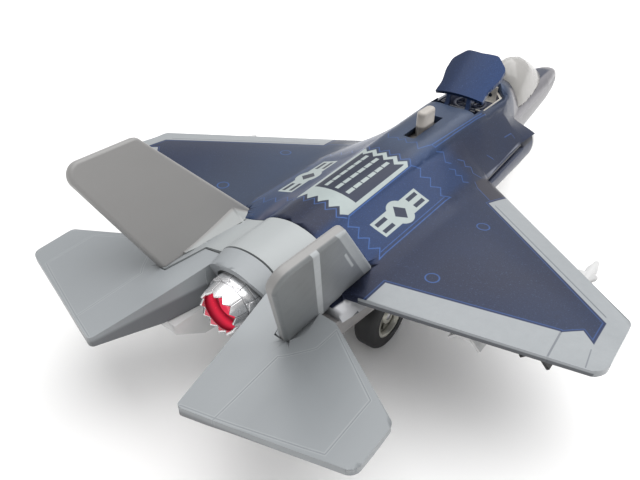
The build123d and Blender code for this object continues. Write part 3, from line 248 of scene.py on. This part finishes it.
# ---------------------------------------------------------------- finishes
NAVY_DARK = srgb(13, 18, 34)
NAVY_LIGHT = srgb(38, 53, 86)
VIOLET_DARK = srgb(17, 19, 31)
VIOLET_LIGHT = srgb(42, 49, 74)
BLUEST_DARK = srgb(9, 24, 50)
BLUEST_LIGHT = srgb(30, 60, 108)
LINE_BLUE = srgb(54, 88, 146)
BORDER_GREY = srgb(148, 152, 155)
PRINT_PALE = srgb(158, 168, 166)
PALE = srgb(205, 205, 205)
GLOW_RED = srgb(240, 70, 104)


MOTTLE = 0.05  # share by which flow marks lighten a plastic, and half of what they darken it by


def moulded(name, colour, roughness=0.38):
    """Moulded plastic: faint flow marks, a fine orange peel, uneven gloss."""
    finish = Finish(name, Specular_IOR_Level=0.5, Coat_Roughness=0.2)
    flow = finish.noise(0.05, 3.0, 0.6, (1, 0.4, 1))
    peel = finish.noise(1.6, 2.0)
    darker = tuple(c * (1 - MOTTLE * 2) for c in colour)
    lighter = tuple(min(1.0, c * (1 + MOTTLE)) for c in colour)
    finish.colour = finish.mix(flow, darker, lighter)
    gloss = finish.noise(0.3, 3.0)
    finish.feed(Base_Color=finish.colour, Roughness=roughness - 0.05 + 0.1 * gloss)
    finish.relief = peel + flow * 2
    return finish.bump(finish.relief, 0.012)


METAL = 0.45  # how metallic the enamel is
ENAMEL_ROUGH = 0.4
FLAKE_ROUGH = 0.14  # added where the flake lies open


def enamel(name, bluer):
    """Metallic navy enamel: fine flake, a slow drift from navy to violet.

    bluer(finish) is the share of the bluest tone.
    """
    finish = Finish(
        name, Coat_Roughness=0.2, Coat_Weight=0.8, Coat_IOR=1.15, Metallic=METAL,
        Specular_IOR_Level=0.3,
    )
    flake = finish.flake = finish.noise(3.2, 3.0, 0.75)
    drift = finish.noise(0.028, 2.0).above(0.52, 0.2)
    sparkle = finish.noise(3.0, 1.0).above(0.68, 0.06)
    finish.colour = finish.coats(
        finish.mix(flake, NAVY_DARK, NAVY_LIGHT),
        (drift, finish.mix(flake, VIOLET_DARK, VIOLET_LIGHT)),
        (bluer(finish), finish.mix(flake, BLUEST_DARK, BLUEST_LIGHT)),
        (sparkle * 0.15, srgb(92, 118, 160)),
    )
    finish.feed(Roughness=ENAMEL_ROUGH + FLAKE_ROUGH * flake)
    return finish.bump(flake, 0.008)


def hull_paint():
    """The upper hull: navy enamel, pale borders on the wings, panel lines and prints in plan."""
    hull = enamel("hull_paint", lambda f: f.side.between(6.5, 19.5, 1.5) * f.s.above(113, 5) * 0.85)
    side, s, x, z = hull.side, hull.s, hull.x, hull.z
    on_top = (z - 0.0335 * side).above(28.2, 0.3)

    # Wing border. Each field is the distance in mm inside the blue.
    lead_side, lead_s, lead_slope = 28.4, 121.3, 0.7694
    rear_s, rear_slope, rear_scale = 160.4, 0.2188, 1.05
    notch_side, notch_tip_side, notch_tip_s, notch_slope = 61.9, 65.3, 157.4, 0.95
    root_side, tip_side = 25.75, 68.2
    from_lead = (s - lead_s - lead_slope * (side - lead_side)) / math.hypot(1, lead_slope)
    lead_end = lead_side + 0.216 * (lead_s - s) - side
    rear_limit = rear_s - rear_slope * (side - notch_side)
    notch_limit = notch_tip_s + notch_slope * abs(side - notch_tip_side)
    limit = rear_limit + (notch_limit - rear_limit) * side.above(notch_side, 0.05)
    blue_depth = from_lead.most(lead_end).least(((limit - s) / rear_scale).most(root_side - side))
    blue_depth = blue_depth.least(tip_side - side)
    border = blue_depth.below(0.0, 0.1)
    seam = from_lead.near(-1.2, 0.16, 0.07) * side.between(30.2, 67.6, 0.1) * from_lead.below(0.0, 0.1)
    flap = hull.stroke((notch_side, rear_s), (62.2, 168.4)).below(0.16, 0.07)
    tip = hull.stroke((tip_side, 161.8), (68.8, 166.6)).below(0.12, 0.07)
    # painted shade along the step where the blue meets the border
    border_step_shade = blue_depth.near(0.2, 0.2, 0.08)
    echo_line = blue_depth.near(0.62, 0.12, 0.1)
    trail_face_shade = (s + 0.21 * (side - 26.6)).above(175.68, 0.05) * side.above(24, 0.1)

    # Panel over each wing root, with saw-toothed ends.
    panel_side, tooth = 9.6, 1.775
    teeth = (side - panel_side).swing(tooth) / tooth
    root_front = 126.7 + 0.13 * (side - panel_side) + 2.7 * teeth
    root_rear = 160.4 + 0.2 * (side - panel_side) - 2.5 * teeth
    root_depth = ((s - root_front) * 0.55).least((root_rear - s) * 0.58)
    root_depth = root_depth.least(side - 7.9).least(20.2 - side)
    root_lines = abs(root_depth).below(0.13, 0.08)
    second = side.near(19.3, 0.09, 0.08) * s.between(130, 160.6, 0.2)

    # The same on the spine, printed pale, with rows of dashes.
    spine_mid, spine_tooth = 0.5, 1.7
    front_scale, back_scale = 0.63, 0.61  # from mm along the hull to mm across the teeth
    dash_front, dash_rear = 132.7, 151.8
    spine_wave = (x - spine_mid).swing(spine_tooth)
    print_front = 128.6 + 2.1 * spine_wave / spine_tooth
    print_rear = 159.3 - 2.2 * spine_wave / spine_tooth
    printed = ((s - print_front) * front_scale).least((print_rear - s) * back_scale)
    printed = printed.least(7.6 - side).above(0.0, 0.07)
    cut = ((s - print_front - 1.9) * front_scale).least(153 - s).least(6.5 - side).above(0.0, 0.07)
    dash = spine_wave.below(0.55, 0.06) * x.near(spine_mid, 4.2, 0.1)
    dash = dash * (s - dash_front).swing(1.6).above(0.18, 0.05) * s.between(dash_front, dash_rear, 0.1)
    front_echo = abs(s - print_front + 1.4) * front_scale
    spine_echo = front_echo.least(abs(s - print_rear - 1.4) * back_scale)
    spine_lines = spine_echo.below(0.13, 0.08) * side.below(8.0, 0.1)

    # Plain roundel with a barred plate, fore and aft.
    badge_side, plate_s, disc_s = 15, 145.2, 145.3
    across = abs(side - badge_side)
    along = abs(s - plate_s)
    plate = across.below(2.5, 0.08) * along.below(10.2, 0.08)
    bar = across.near(1.2, 0.55, 0.06) * along.near(7.1, 2.2, 0.08)
    badge = plate.most(hull.spot(badge_side, disc_s).below(3.7, 0.08))
    badge_dark = bar.most((across + abs(s - disc_s)).below(2.3, 0.1))

    # Engraved lines ahead of the wings, on the shoulders and round the knob.
    forward = hull.stroke((9.1, 117.2), (9.9, 114.5), (12.3, 117.3), (13.4, 115.8))
    for saw in (
        ((14.2, 118.3), (15.3, 116.6), (16.5, 118.3), (17.4, 116.5), (18.9, 118.3), (19.7, 116.5)),
        ((13.6, 112.1), (14.7, 110.1), (16.0, 111.6), (16.8, 109.4), (18.3, 110.8), (20.1, 108.6)),
        ((20.4, 113.5), (27.7, 119.3)),
        ((15.3, 82.2), (15.5, 77.4), (16.9, 77.0)),
        ((16.3, 97.2), (18.0, 94.7)),
        ((8.2, 116.6), (8.5, 105.4), (9.3, 86.4)),
        ((7.2, 116.8), (7.8, 105.7), (8.7, 88.1)),
    ):
        forward = forward.least(hull.stroke(*saw))
    recess = hull.stroke(
        (6.3, 118.5), (4.9, 121.0), (2.5, 119.6), (1.4, 120.8), (0.4, 118.9), (-1.2, 120.8),
        (-3.4, 118.9), (-5.5, 121.6), (-7.2, 116.8), (-8.2, 116.6), plan=hull.plan_x,
    )
    ring = hull.spot(33.2, 160.75).least(hull.spot(32.9, 134.45)).near(1.55, 0.17, 0.1)
    marks = forward.least(recess).below(0.11, 0.1).most(ring)

    # Tones of the blue: greyer nose; painted light on the deck and on the port wing; a painted
    # reflection on the port flank; a painted brown reflection and shade on the strake.
    nose_flank = (side - 0.8 * s.root()).above(0.0, 0.5).most(s.below(8.0, 1.5)) * s.below(62, 1)
    # painted reflection: a lighter band on the port flank of the spine
    flank_painted_light = x.near(10.8, 1.6, 1.4) * s.above(156, 8.0) * (z - 36).below(0.0, 4.0)
    # painted brown reflection and shade on the strake's face
    strake_reflection = (s - 113.5 - 0.7945 * (side - 20.4)).below(0.0, 0.2)
    strake_reflection = strake_reflection * side.above(20.4, 0.4) * s.above(100, 1)
    deck = side.below(8.5, 3.0) * s.above(60, 4) * s.below(128, 8)
    port_wing_light = x.above(14, 8) * x.below(42, 16)

    wear = hull.noise(0.5, 4.0, 0.7)
    engraved = marks.most(root_lines).most(second).most(spine_lines) * on_top
    pale = printed * (1 - cut * (1 - dash)) + badge * (1 - badge_dark)
    pale = pale.least(1.0) * on_top
    dark = (cut * printed).most(badge * badge_dark) * on_top
    blue = hull.coats(
        hull.colour,
        (strake_reflection * 0.8, srgb(52, 50, 58)),
        # painted light on the deck and on the port wing
        ((deck * 0.28).most(port_wing_light * 0.25), srgb(82, 100, 124)),
        (nose_flank * 0.85, srgb(128, 126, 130)),
        (flank_painted_light * 0.55, srgb(92, 90, 106)),
        (dark, srgb(36, 42, 60)),
        ((engraved * (0.3 + 0.8 * wear)).least(1.0), LINE_BLUE),
        (pale, hull.mix(wear, PRINT_PALE, srgb(146, 155, 156))),
        (echo_line * 0.5, LINE_BLUE),
        (border_step_shade, srgb(28, 40, 74)),
    )
    grey = hull.coats(
        BORDER_GREY, (wear, srgb(137, 141, 144)),
        (seam.most(flap).most(tip) * 0.75, srgb(96, 100, 108)),
    )
    foot = s.above(166, 0.3) * z.below(29.5, 0.15) * side.above(18, 0.3)
    trail_face_highlight = (z - 0.0108 * side).above(30.05, 0.15)
    # painted highlight along the shoulder's outer edge
    shoulder_edge = side - 18.7 - 0.054 * (s - 74.7)
    shoulder_highlight = shoulder_edge.near(-0.2, 0.38, 0.2) * s.above(77, 2) * s.below(104, 6) * z.below(29.5, 0.3)
    colour = hull.coats(
        blue,
        (border, grey),
        (foot, srgb(176, 177, 180)),
        # painted shade on the trailing-edge face, with a painted highlight along its top
        (trail_face_shade, hull.mix(trail_face_highlight, srgb(84, 87, 92), srgb(150, 154, 158))),
        (shoulder_highlight * 0.6, srgb(150, 154, 166)),
    )
    solid = border.most(pale)
    hull.feed(
        Base_Color=colour, Metallic=METAL - 0.4 * solid,
        Roughness=ENAMEL_ROUGH + FLAKE_ROUGH * hull.flake * (1 - solid),
    )
    return hull.bump(2 + 0.25 * hull.flake - seam - flap, 0.06)


def door_paint():
    """The fan door: the same enamel, with painted light that makes it bluer towards starboard."""
    door = enamel("door_paint", lambda f: (f.x * -0.05 + 0.62).least(1.0).most(0.35))
    return door.feed(Base_Color=door.colour)


def hull_plastic():
    """The lower hull: pale plastic with navy cheeks and a grey nose tip, painted shade in the groove
    atop the cheeks and on the rear flanks.
    """
    finish = moulded("hull_plastic", PALE)
    side, s, z = finish.side, finish.s, finish.z
    cheek = s.above(66.2, 0.2) * (s - 2.2 * (z - 24)).below(107, 0.6) * z.above(19.8, 0.2)
    cheek = cheek * side.above(14, 0.3)
    nose = s.below(62, 1.0) * z.above(19, 1.5)
    # painted shade on the rear flanks above the wheels
    flank_painted_light = s.above(166, 3.0) * side.above(14, 1.0) * z.above(15, 1.0)
    # painted shade in the groove under the shoulder, on the cheeks
    groove = z.near(25.9, 0.7, 0.2)
    return finish.feed(Base_Color=finish.coats(
        finish.colour,
        (nose, srgb(126, 125, 128)),
        (flank_painted_light, srgb(128, 126, 126)),
        (cheek, finish.mix(finish.noise(3.2, 3.0, 0.75), NAVY_DARK, NAVY_LIGHT)),
        (cheek * groove * 0.8, srgb(14, 16, 26)),
    ))


def lens_plastic():
    """The red lens, with a painted glow that stands for light coming through the belly."""
    lens = Finish("lens_plastic", Specular_IOR_Level=0.6, Emission_Strength=0.22)
    haze = lens.noise(0.25, 3.0)
    colour = lens.mix(haze, srgb(236, 34, 72), srgb(255, 84, 112))
    return lens.feed(Base_Color=colour, Emission_Color=colour, Roughness=0.22 + 0.1 * haze)


def nozzle_chrome():
    """Plated petals with engraved joints outside; the walls inside are painted red as a painted
    reflection of the lens, with a painted glow.
    """
    plate = Finish("nozzle_chrome", Specular_IOR_Level=0.6, Emission_Strength=0.2)
    x, s, up = plate.x, plate.s, plate.z - NOZZLE_Z
    arc = up.math("ARCTAN2", up, x) * NOZZLE_RADIUS
    row = s.above(191.5, 0.05)
    joint = (arc + row * PETAL_ARC / 2).swing(PETAL_ARC / 2).below(0.1, 0.06)
    hoop = s.near(191.6, 0.12, 0.06).most(s.near(189.4, 0.06, 0.06))
    radius = (x * x + up * up).root()
    inside = (radius - 6.45 + 0.188 * (s - NOZZLE_FRONT)).below(0.0, 0.1)
    seams = joint.most(hoop) * (1 - inside)
    scratch = plate.noise(0.8, 2.0, 0.5, (1, 3, 1))
    inside = inside * s.below(194.5, 0.15)
    # painted glow and reflection of the lens on the inside walls
    glow = s.near(192.2, 1.0, 1.0)
    colour = plate.coats(
        plate.mix(scratch, srgb(238, 238, 240), srgb(252, 252, 253)),
        (seams * 0.6, srgb(120, 120, 124)),
        (inside, plate.mix(glow, srgb(120, 20, 42), GLOW_RED)),
    )
    plate.feed(
        Base_Color=colour, Metallic=0.8 - 0.7 * inside, Roughness=0.2 + 0.1 * plate.noise(0.8, 1.0),
        Emission_Color=plate.mix(inside * glow, (0, 0, 0), GLOW_RED),
    )
    return plate.bump(1 - seams, 0.05)


def rim_metal():
    """Satin wheel rims, darker on their inboard part."""
    rim = Finish("rim_metal", Metallic=0.6)
    worn = rim.noise(0.9, 3.0)
    inner = rim.side.below(19.9, 0.25)
    face = rim.mix(worn, srgb(176, 174, 164), srgb(206, 204, 194))
    colour = rim.mix(inner, face, srgb(128, 127, 117))
    return rim.feed(Base_Color=colour, Roughness=0.3 + 0.15 * worn)


def slider_plastic():
    """The slider: cream knob, with painted shade on its foot where it stands in its slot."""
    finish = moulded("slider_plastic", srgb(168, 163, 157))
    # painted shade below the knob's top, down in the slot
    low = finish.z.below(40.8, 0.5)
    return finish.feed(Base_Color=finish.mix(low * 0.85, finish.colour, srgb(38, 36, 40)))


def missile_plastic():
    """Missiles: pale noses, dark bodies behind."""
    finish = moulded("missile_plastic", srgb(196, 196, 196))
    dark = finish.mix(finish.noise(0.6, 3.0), srgb(24, 24, 27), srgb(40, 40, 43))
    return finish.feed(Base_Color=finish.mix(finish.s.above(158.0, 0.2), finish.colour, dark))


def fan_plastic():
    """The lift fan: cream tub, dark blades and hub, and painted shade over the tub's port half behind
    its rim.
    """
    finish = moulded("fan_plastic", srgb(186, 181, 172))
    behind_rim = finish.s.above(67.5, 0.2)
    inside = finish.z.below(38.0, 0.1) * finish.side.below(6.6, 0.1) * behind_rim
    # painted shade over the port half of the tub behind its rim
    inside = inside.most(finish.x.above(-4.5, 0.3) * behind_rim)
    dark = finish.mix(finish.noise(0.8, 3.0), srgb(34, 40, 60), srgb(50, 56, 78))
    return finish.feed(Base_Color=finish.mix(inside, finish.colour, dark))


def tail_plastic(name, middle):
    """Grey plastic of the tail with its hinge and panel seams in plan, a painted highlight on the
    seams' lips and painted shade on its edge faces.

    middle is its colour between the fins.
    """
    finish = moulded(name, srgb(138, 142, 145))
    s, z = finish.s, finish.z
    top_z = 27.2
    hinge = finish.stroke(
        (21.2, 216.8), (20.9, 198.7), (22.2, 197.4), (25.6, 192.5), (25.9, 186.4),
    )
    frame_line = finish.stroke(
        (25.9, 186.4), (28.6, 188.4), (41.4, 197.1), (41.4, 210.2), (37.7, 211.3), (21.2, 215.8),
        (14.0, 217.6),
    )
    seams = hinge.least(frame_line)
    on_top = z.above(top_z, 0.2)
    groove = seams.below(0.06, 0.1) * on_top
    # painted highlight along the lip of each seam
    lip_highlight = seams.near(0.24, 0.05, 0.1) * on_top
    # painted shade on the edge faces below the top
    edge = z.below(top_z, 0.6) * s.above(187, 1.5)
    deck = finish.side.below(15.5, 4.0) * s.below(200, 4.0)
    finish.feed(Base_Color=finish.coats(
        finish.colour,
        (deck, middle),
        (edge * 0.8, srgb(84, 86, 90)),
        (groove * 0.3, srgb(92, 96, 101)),
        (lip_highlight * 0.35, srgb(180, 184, 187)),
    ))
    return finish.bump(finish.relief * 0.1 + 1 - groove, 0.04)


def fin_plastic():
    """Warm grey fins with a paler leading edge, a pale stripe and a dash on their outer faces, which
    carry painted shade and a painted sheen towards the front.
    """
    finish = moulded("fin_plastic", srgb(140, 139, 138))
    s, z = finish.s, finish.z
    off_middle = finish.side - 18.5 - 0.3443 * (z - 29.2)  # across the leaning fin, outwards
    outer = off_middle.above(0.6, 0.2)
    fairing = off_middle.below(-1.7, 0.3)
    band = ((s - 171.7 - 0.853 * (z - 34.4)) * 0.76).below(0.0, 0.1)
    stripe = abs(s - 197.9 + 0.486 * (58.5 - z)).below(0.85, 0.1)
    profile = finish.node("ShaderNodeCombineXYZ", {}, s, z)
    dash = finish.stroke((185.1, 48.9), (178.6, 41.0), plan=profile).below(0.28, 0.12)
    worn = finish.noise(0.4, 3.0)
    # painted shade: the outer faces darker than the inner ones, with tone that differs at random
    face = finish.mix(worn, srgb(100, 103, 104), srgb(112, 115, 116))
    # painted sheen: the outer faces lighter towards the front
    face = finish.mix(s.below(190, 9) * 0.5, face, srgb(126, 130, 136))
    return finish.feed(Base_Color=finish.coats(
        finish.colour,
        (fairing, srgb(152, 155, 155)),
        (outer, face),
        (outer * band, srgb(158, 162, 164)),
        (outer * stripe.most(dash) * (0.7 + 0.3 * worn), srgb(178, 182, 184)),
    ))


def bright_metal(name, colour, roughness):
    """Plated or turned metal with fine scratches."""
    finish = Finish(name, Metallic=1.0)
    scratch = finish.noise(2.0, 4.0, 0.7, (1, 6, 1))
    finish.feed(
        Base_Color=finish.mix(scratch, tuple(c * 0.8 for c in colour), colour),
        Roughness=roughness + 0.12 * finish.noise(0.8, 3.0),
    )
    return finish.bump(scratch, 0.006)


def clear_plastic(name, colour, alpha):
    """Tinted clear moulding with a faint haze."""
    finish = Finish(name, Specular_IOR_Level=0.6)
    haze = finish.noise(0.2, 3.0)
    return finish.feed(
        Base_Color=finish.mix(haze, colour, tuple(c * 0.85 for c in colour)),
        Roughness=0.08 + 0.06 * haze,
        Alpha=alpha + 0.05 * haze,
    )


FINISHES = {
    "blue_metal": hull_paint(),
    "pale_plastic": moulded("pale_plastic", PALE),
    "deck_grey": tail_plastic("deck_plastic", srgb(157, 161, 162)),
    "fin_grey": fin_plastic(),
    "canopy_tint": clear_plastic("canopy_tint", srgb(178, 176, 173), 0.7),
    "dark_plastic": moulded("dark_plastic", srgb(60, 60, 62), 0.5),
    "black_plastic": moulded("black_plastic", srgb(34, 34, 36), 0.5),
    "cream_plastic": moulded("cream_plastic", srgb(168, 163, 156)),
    "steel": bright_metal("steel", srgb(190, 190, 194), 0.25),
    "chrome_plate": bright_metal("chrome_plate", srgb(238, 238, 240), 0.16),
    "red_lens": lens_plastic(),
    "tyre_rubber": moulded("tyre_rubber", srgb(27, 27, 29), 0.6),
    "brass_gear": bright_metal("brass_gear", srgb(200, 165, 95), 0.3),
    "white_gear": moulded("white_gear", srgb(226, 226, 220)),
    "cell_steel": bright_metal("cell_steel", srgb(205, 205, 208), 0.2),
    "board_green": moulded("board_green", srgb(40, 110, 62)),
}
OWN_FINISHES = {
    "tail_frame": tail_plastic("frame_plastic", srgb(147, 151, 154)),
    "fan_door": door_paint(),
    "lower_hull": hull_plastic(),
    "lift_fan": fan_plastic(),
    "door_slider": slider_plastic(),
    "nozzle_petals": nozzle_chrome(),
}
OWN_FINISHES["door_bracket"] = OWN_FINISHES["fan_door"]
OWN_FINISHES["rim_port"] = OWN_FINISHES["rim_starboard"] = rim_metal()
OWN_FINISHES["outer_missile_port"] = OWN_FINISHES["outer_missile_starboard"] = missile_plastic()

slots = {entry["node"]: entry["material_slot"] for entry in frame["record"]["subparts"]}
bodies = frame["record"]["behaviour"]["bodies"]


def dress(obj, finish):
    """Give an object one finish."""
    obj.data.materials.clear()
    obj.data.materials.append(finish.material)


# ---------------------------------------------------------------- smooth copies of the moulded pieces
# Edges sharper than this many degrees stay sharp.
CREASE = {"nozzle_petals": 50.0, "fin_port": 10.0, "fin_starboard": 10.0, "tail_frame": 16.0}
PLAIN_CREASE = 32.0
WELD = 0.001 * MM


def in_edit(operation, *args, **settings):
    """Run one mesh operation on the active piece in edit mode."""
    bpy.ops.object.mode_set(mode="EDIT")
    operation(*args, **settings)
    bpy.ops.object.mode_set(mode="OBJECT")


# Corners of a wing tip in plan: the arc's centre and radius in mm, and the turns of its flats.
TIP_CORNERS = (
    (68.5, 163.15, 3.8, (12, 26, 40, 54, 66)),
    (69.6, 149.85, 2.7, (-13, -25, -37)),
)


def round_wing_tips(hull):
    """Cut the corners of both wing tips round, as seen from above, with a few flats each."""
    inner = 60 * MM
    for hand in (-1, 1):
        in_edit(bpy.ops.mesh.select_all, action="SELECT")
        in_edit(bpy.ops.mesh.bisect, plane_co=(hand * inner, 0, 0), plane_no=(1, 0, 0))
        for side, station, radius, turns in TIP_CORNERS:
            centre = Vector((hand * side * MM, y_at(station), 0))
            for turn in map(math.radians, turns):
                for face in hull.data.polygons:
                    face.select = hand * face.center.x > inner
                away = Vector((hand * math.cos(turn), math.sin(turn), 0))
                in_edit(
                    bpy.ops.mesh.bisect, plane_co=centre + away * radius * MM, plane_no=away,
                    use_fill=True, clear_outer=True,
                )


def smooth_copy(name):
    """A merged, smoothly shaded copy of a CAD node that stands for it."""
    bpy.ops.object.select_all(action="DESELECT")
    node = nodes[name]
    piece = node.copy()
    piece.data = node.data.copy()
    piece.name = name + "_piece"
    bpy.context.scene.collection.objects.link(piece)
    piece.parent = None
    piece.matrix_world = Matrix.Identity(4)
    piece.select_set(True)
    bpy.context.view_layer.objects.active = piece
    in_edit(bpy.ops.mesh.select_all, action="SELECT")
    in_edit(bpy.ops.mesh.remove_doubles, threshold=WELD)
    if name == "upper_hull":
        in_edit(bpy.ops.mesh.select_mode, type="FACE")
        round_wing_tips(piece)
    crease = CREASE.get(name, PLAIN_CREASE)
    bpy.ops.object.shade_smooth_by_angle(angle=math.radians(crease))
    even = piece.modifiers.new("even_shading", "WEIGHTED_NORMAL")
    even.keep_sharp = True
    even.mode = "FACE_AREA_WITH_ANGLE"
    bpy.ops.object.modifier_apply(modifier=even.name)
    dress(piece, OWN_FINISHES.get(name, FINISHES[slots[name]]))
    body = next(body for body, members in bodies.items() if name in members)
    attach(piece, body)
    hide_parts(name)
    return piece


pieces = {name: smooth_copy(name) for name in slots}

# The door's skin is one even arch: its crown's normals are set from the arch itself.
ARCH_DROP = 1.9  # mm from its crown to its sides
ARCH_HALF = 9.4  # mm, half its width
DOOR_LEAN = math.radians(-33)
CROWN = 0.8  # least cosine between the crown's faces and the door's own up
lean = Matrix.Rotation(DOOR_LEAN, 3, "X")
skin = pieces["fan_door"].data
normals = [Vector(corner.vector) for corner in skin.corner_normals]
for face in skin.polygons:
    if face.normal.dot(lean @ Vector((0, 0, 1))) > CROWN:
        for corner in face.loop_indices:
            x = skin.vertices[skin.loops[corner].vertex_index].co.x / MM
            slope = 2 * ARCH_DROP * x / ARCH_HALF**2
            normals[corner] = lean @ Vector((slope, 0, 1)).normalized()
skin.normals_split_custom_set(normals)

# The canopy is blown from one sheet: its normals are evened out with their neighbours'.
EVENING_ROUNDS = 14
NEIGHBOUR_SHARE = 0.6
SAME_SHEET = 0.3  # least cosine between neighbours of one face of the sheet
SAME_FACE = 0.7  # least cosine between a corner and its evened normal
glass = pieces["canopy"].data
sheet = [Vector(normal.vector) for normal in glass.vertex_normals]
for _ in range(EVENING_ROUNDS):
    evened = [normal.copy() for normal in sheet]
    for edge in glass.edges:
        one, other = edge.vertices
        if sheet[one].dot(sheet[other]) > SAME_SHEET:
            evened[one] += sheet[other] * NEIGHBOUR_SHARE
            evened[other] += sheet[one] * NEIGHBOUR_SHARE
    sheet = [normal.normalized() for normal in evened]
normals = [Vector(corner.vector) for corner in glass.corner_normals]
for loop in glass.loops:
    if sheet[loop.vertex_index].dot(normals[loop.index]) > SAME_FACE:
        normals[loop.index] = sheet[loop.vertex_index]
glass.normals_split_custom_set(normals)

# The petals stand in a round, bulging ring: both their faces are shaded as if round.
PETAL_LENGTH = 7.7 * MM
FRONT_SLOPE, SLOPE_GROWTH = 0.05, 0.4
ROUND_FACE = 0.85  # least cosine between a petal's round faces and the spoke through them
petals = pieces["nozzle_petals"].data
hub = Vector((0, y_at(NOZZLE_FRONT), NOZZLE_Z * MM))
normals = [Vector(corner.vector) for corner in petals.corner_normals]
for face in petals.polygons:
    out = face.center - hub
    out.y = 0
    facing = face.normal.dot(out.normalized())
    if abs(facing) > ROUND_FACE:
        for corner in face.loop_indices:
            spoke = petals.vertices[petals.loops[corner].vertex_index].co - hub
            slope = FRONT_SLOPE + SLOPE_GROWTH * spoke.y / PETAL_LENGTH
            spoke.y = 0
            round_out = spoke.normalized() + Vector((0, slope, 0))
            normals[corner] = (round_out if facing > 0 else -spoke).normalized()
petals.normals_split_custom_set(normals)


# ---------------------------------------------------------------- floor, world and lamp
FLOOR_SIZE = 6.0
FLOOR_DROP = 0.1 * MM  # keeps the tyres from lying in the floor
SKY_LIGHT = 0.66
SKY_SEEN = 1.0

bpy.ops.object.select_all(action="DESELECT")
bpy.ops.mesh.primitive_plane_add(size=FLOOR_SIZE, location=(0, 0, -FLOOR_DROP))
floor = bpy.context.object
floor.name = "floor"
paper = bpy.data.materials.new("paper")
paper.use_nodes = True
sheen = paper.node_tree.nodes["Principled BSDF"]
sheen.inputs["Base Color"].default_value = (0.94, 0.935, 0.93, 1)
sheen.inputs["Roughness"].default_value = 0.6
floor.data.materials.append(paper)

world = bpy.data.worlds.new("studio")
bpy.context.scene.world = world
world.use_nodes = True
sky = world.node_tree
sky.nodes["Background"].inputs["Color"].default_value = (1, 1, 1, 1)
# What the camera sees past the floor is white; the light that falls on the part is dimmer.
strength = sky.nodes.new("ShaderNodeMapRange")
strength.inputs["To Min"].default_value = SKY_LIGHT
strength.inputs["To Max"].default_value = SKY_SEEN
ray = sky.nodes.new("ShaderNodeLightPath")
sky.links.new(ray.outputs["Is Camera Ray"], strength.inputs["Value"])
sky.links.new(strength.outputs[0], sky.nodes["Background"].inputs["Strength"])


def soft_lamp(name, place, aim, size, power):
    """A square soft box."""
    data = bpy.data.lights.new(name, "AREA")
    data.energy = power
    data.size = size
    lamp = bpy.data.objects.new(name, data)
    lamp.location = place
    lamp.rotation_euler = (Vector(aim) - Vector(place)).to_track_quat("-Z", "Y").to_euler()
    bpy.context.scene.collection.objects.link(lamp)


soft_lamp("key", place=(-0.06, -0.15, 0.62), aim=(0, 0, 0.02), size=1.0, power=6.6)
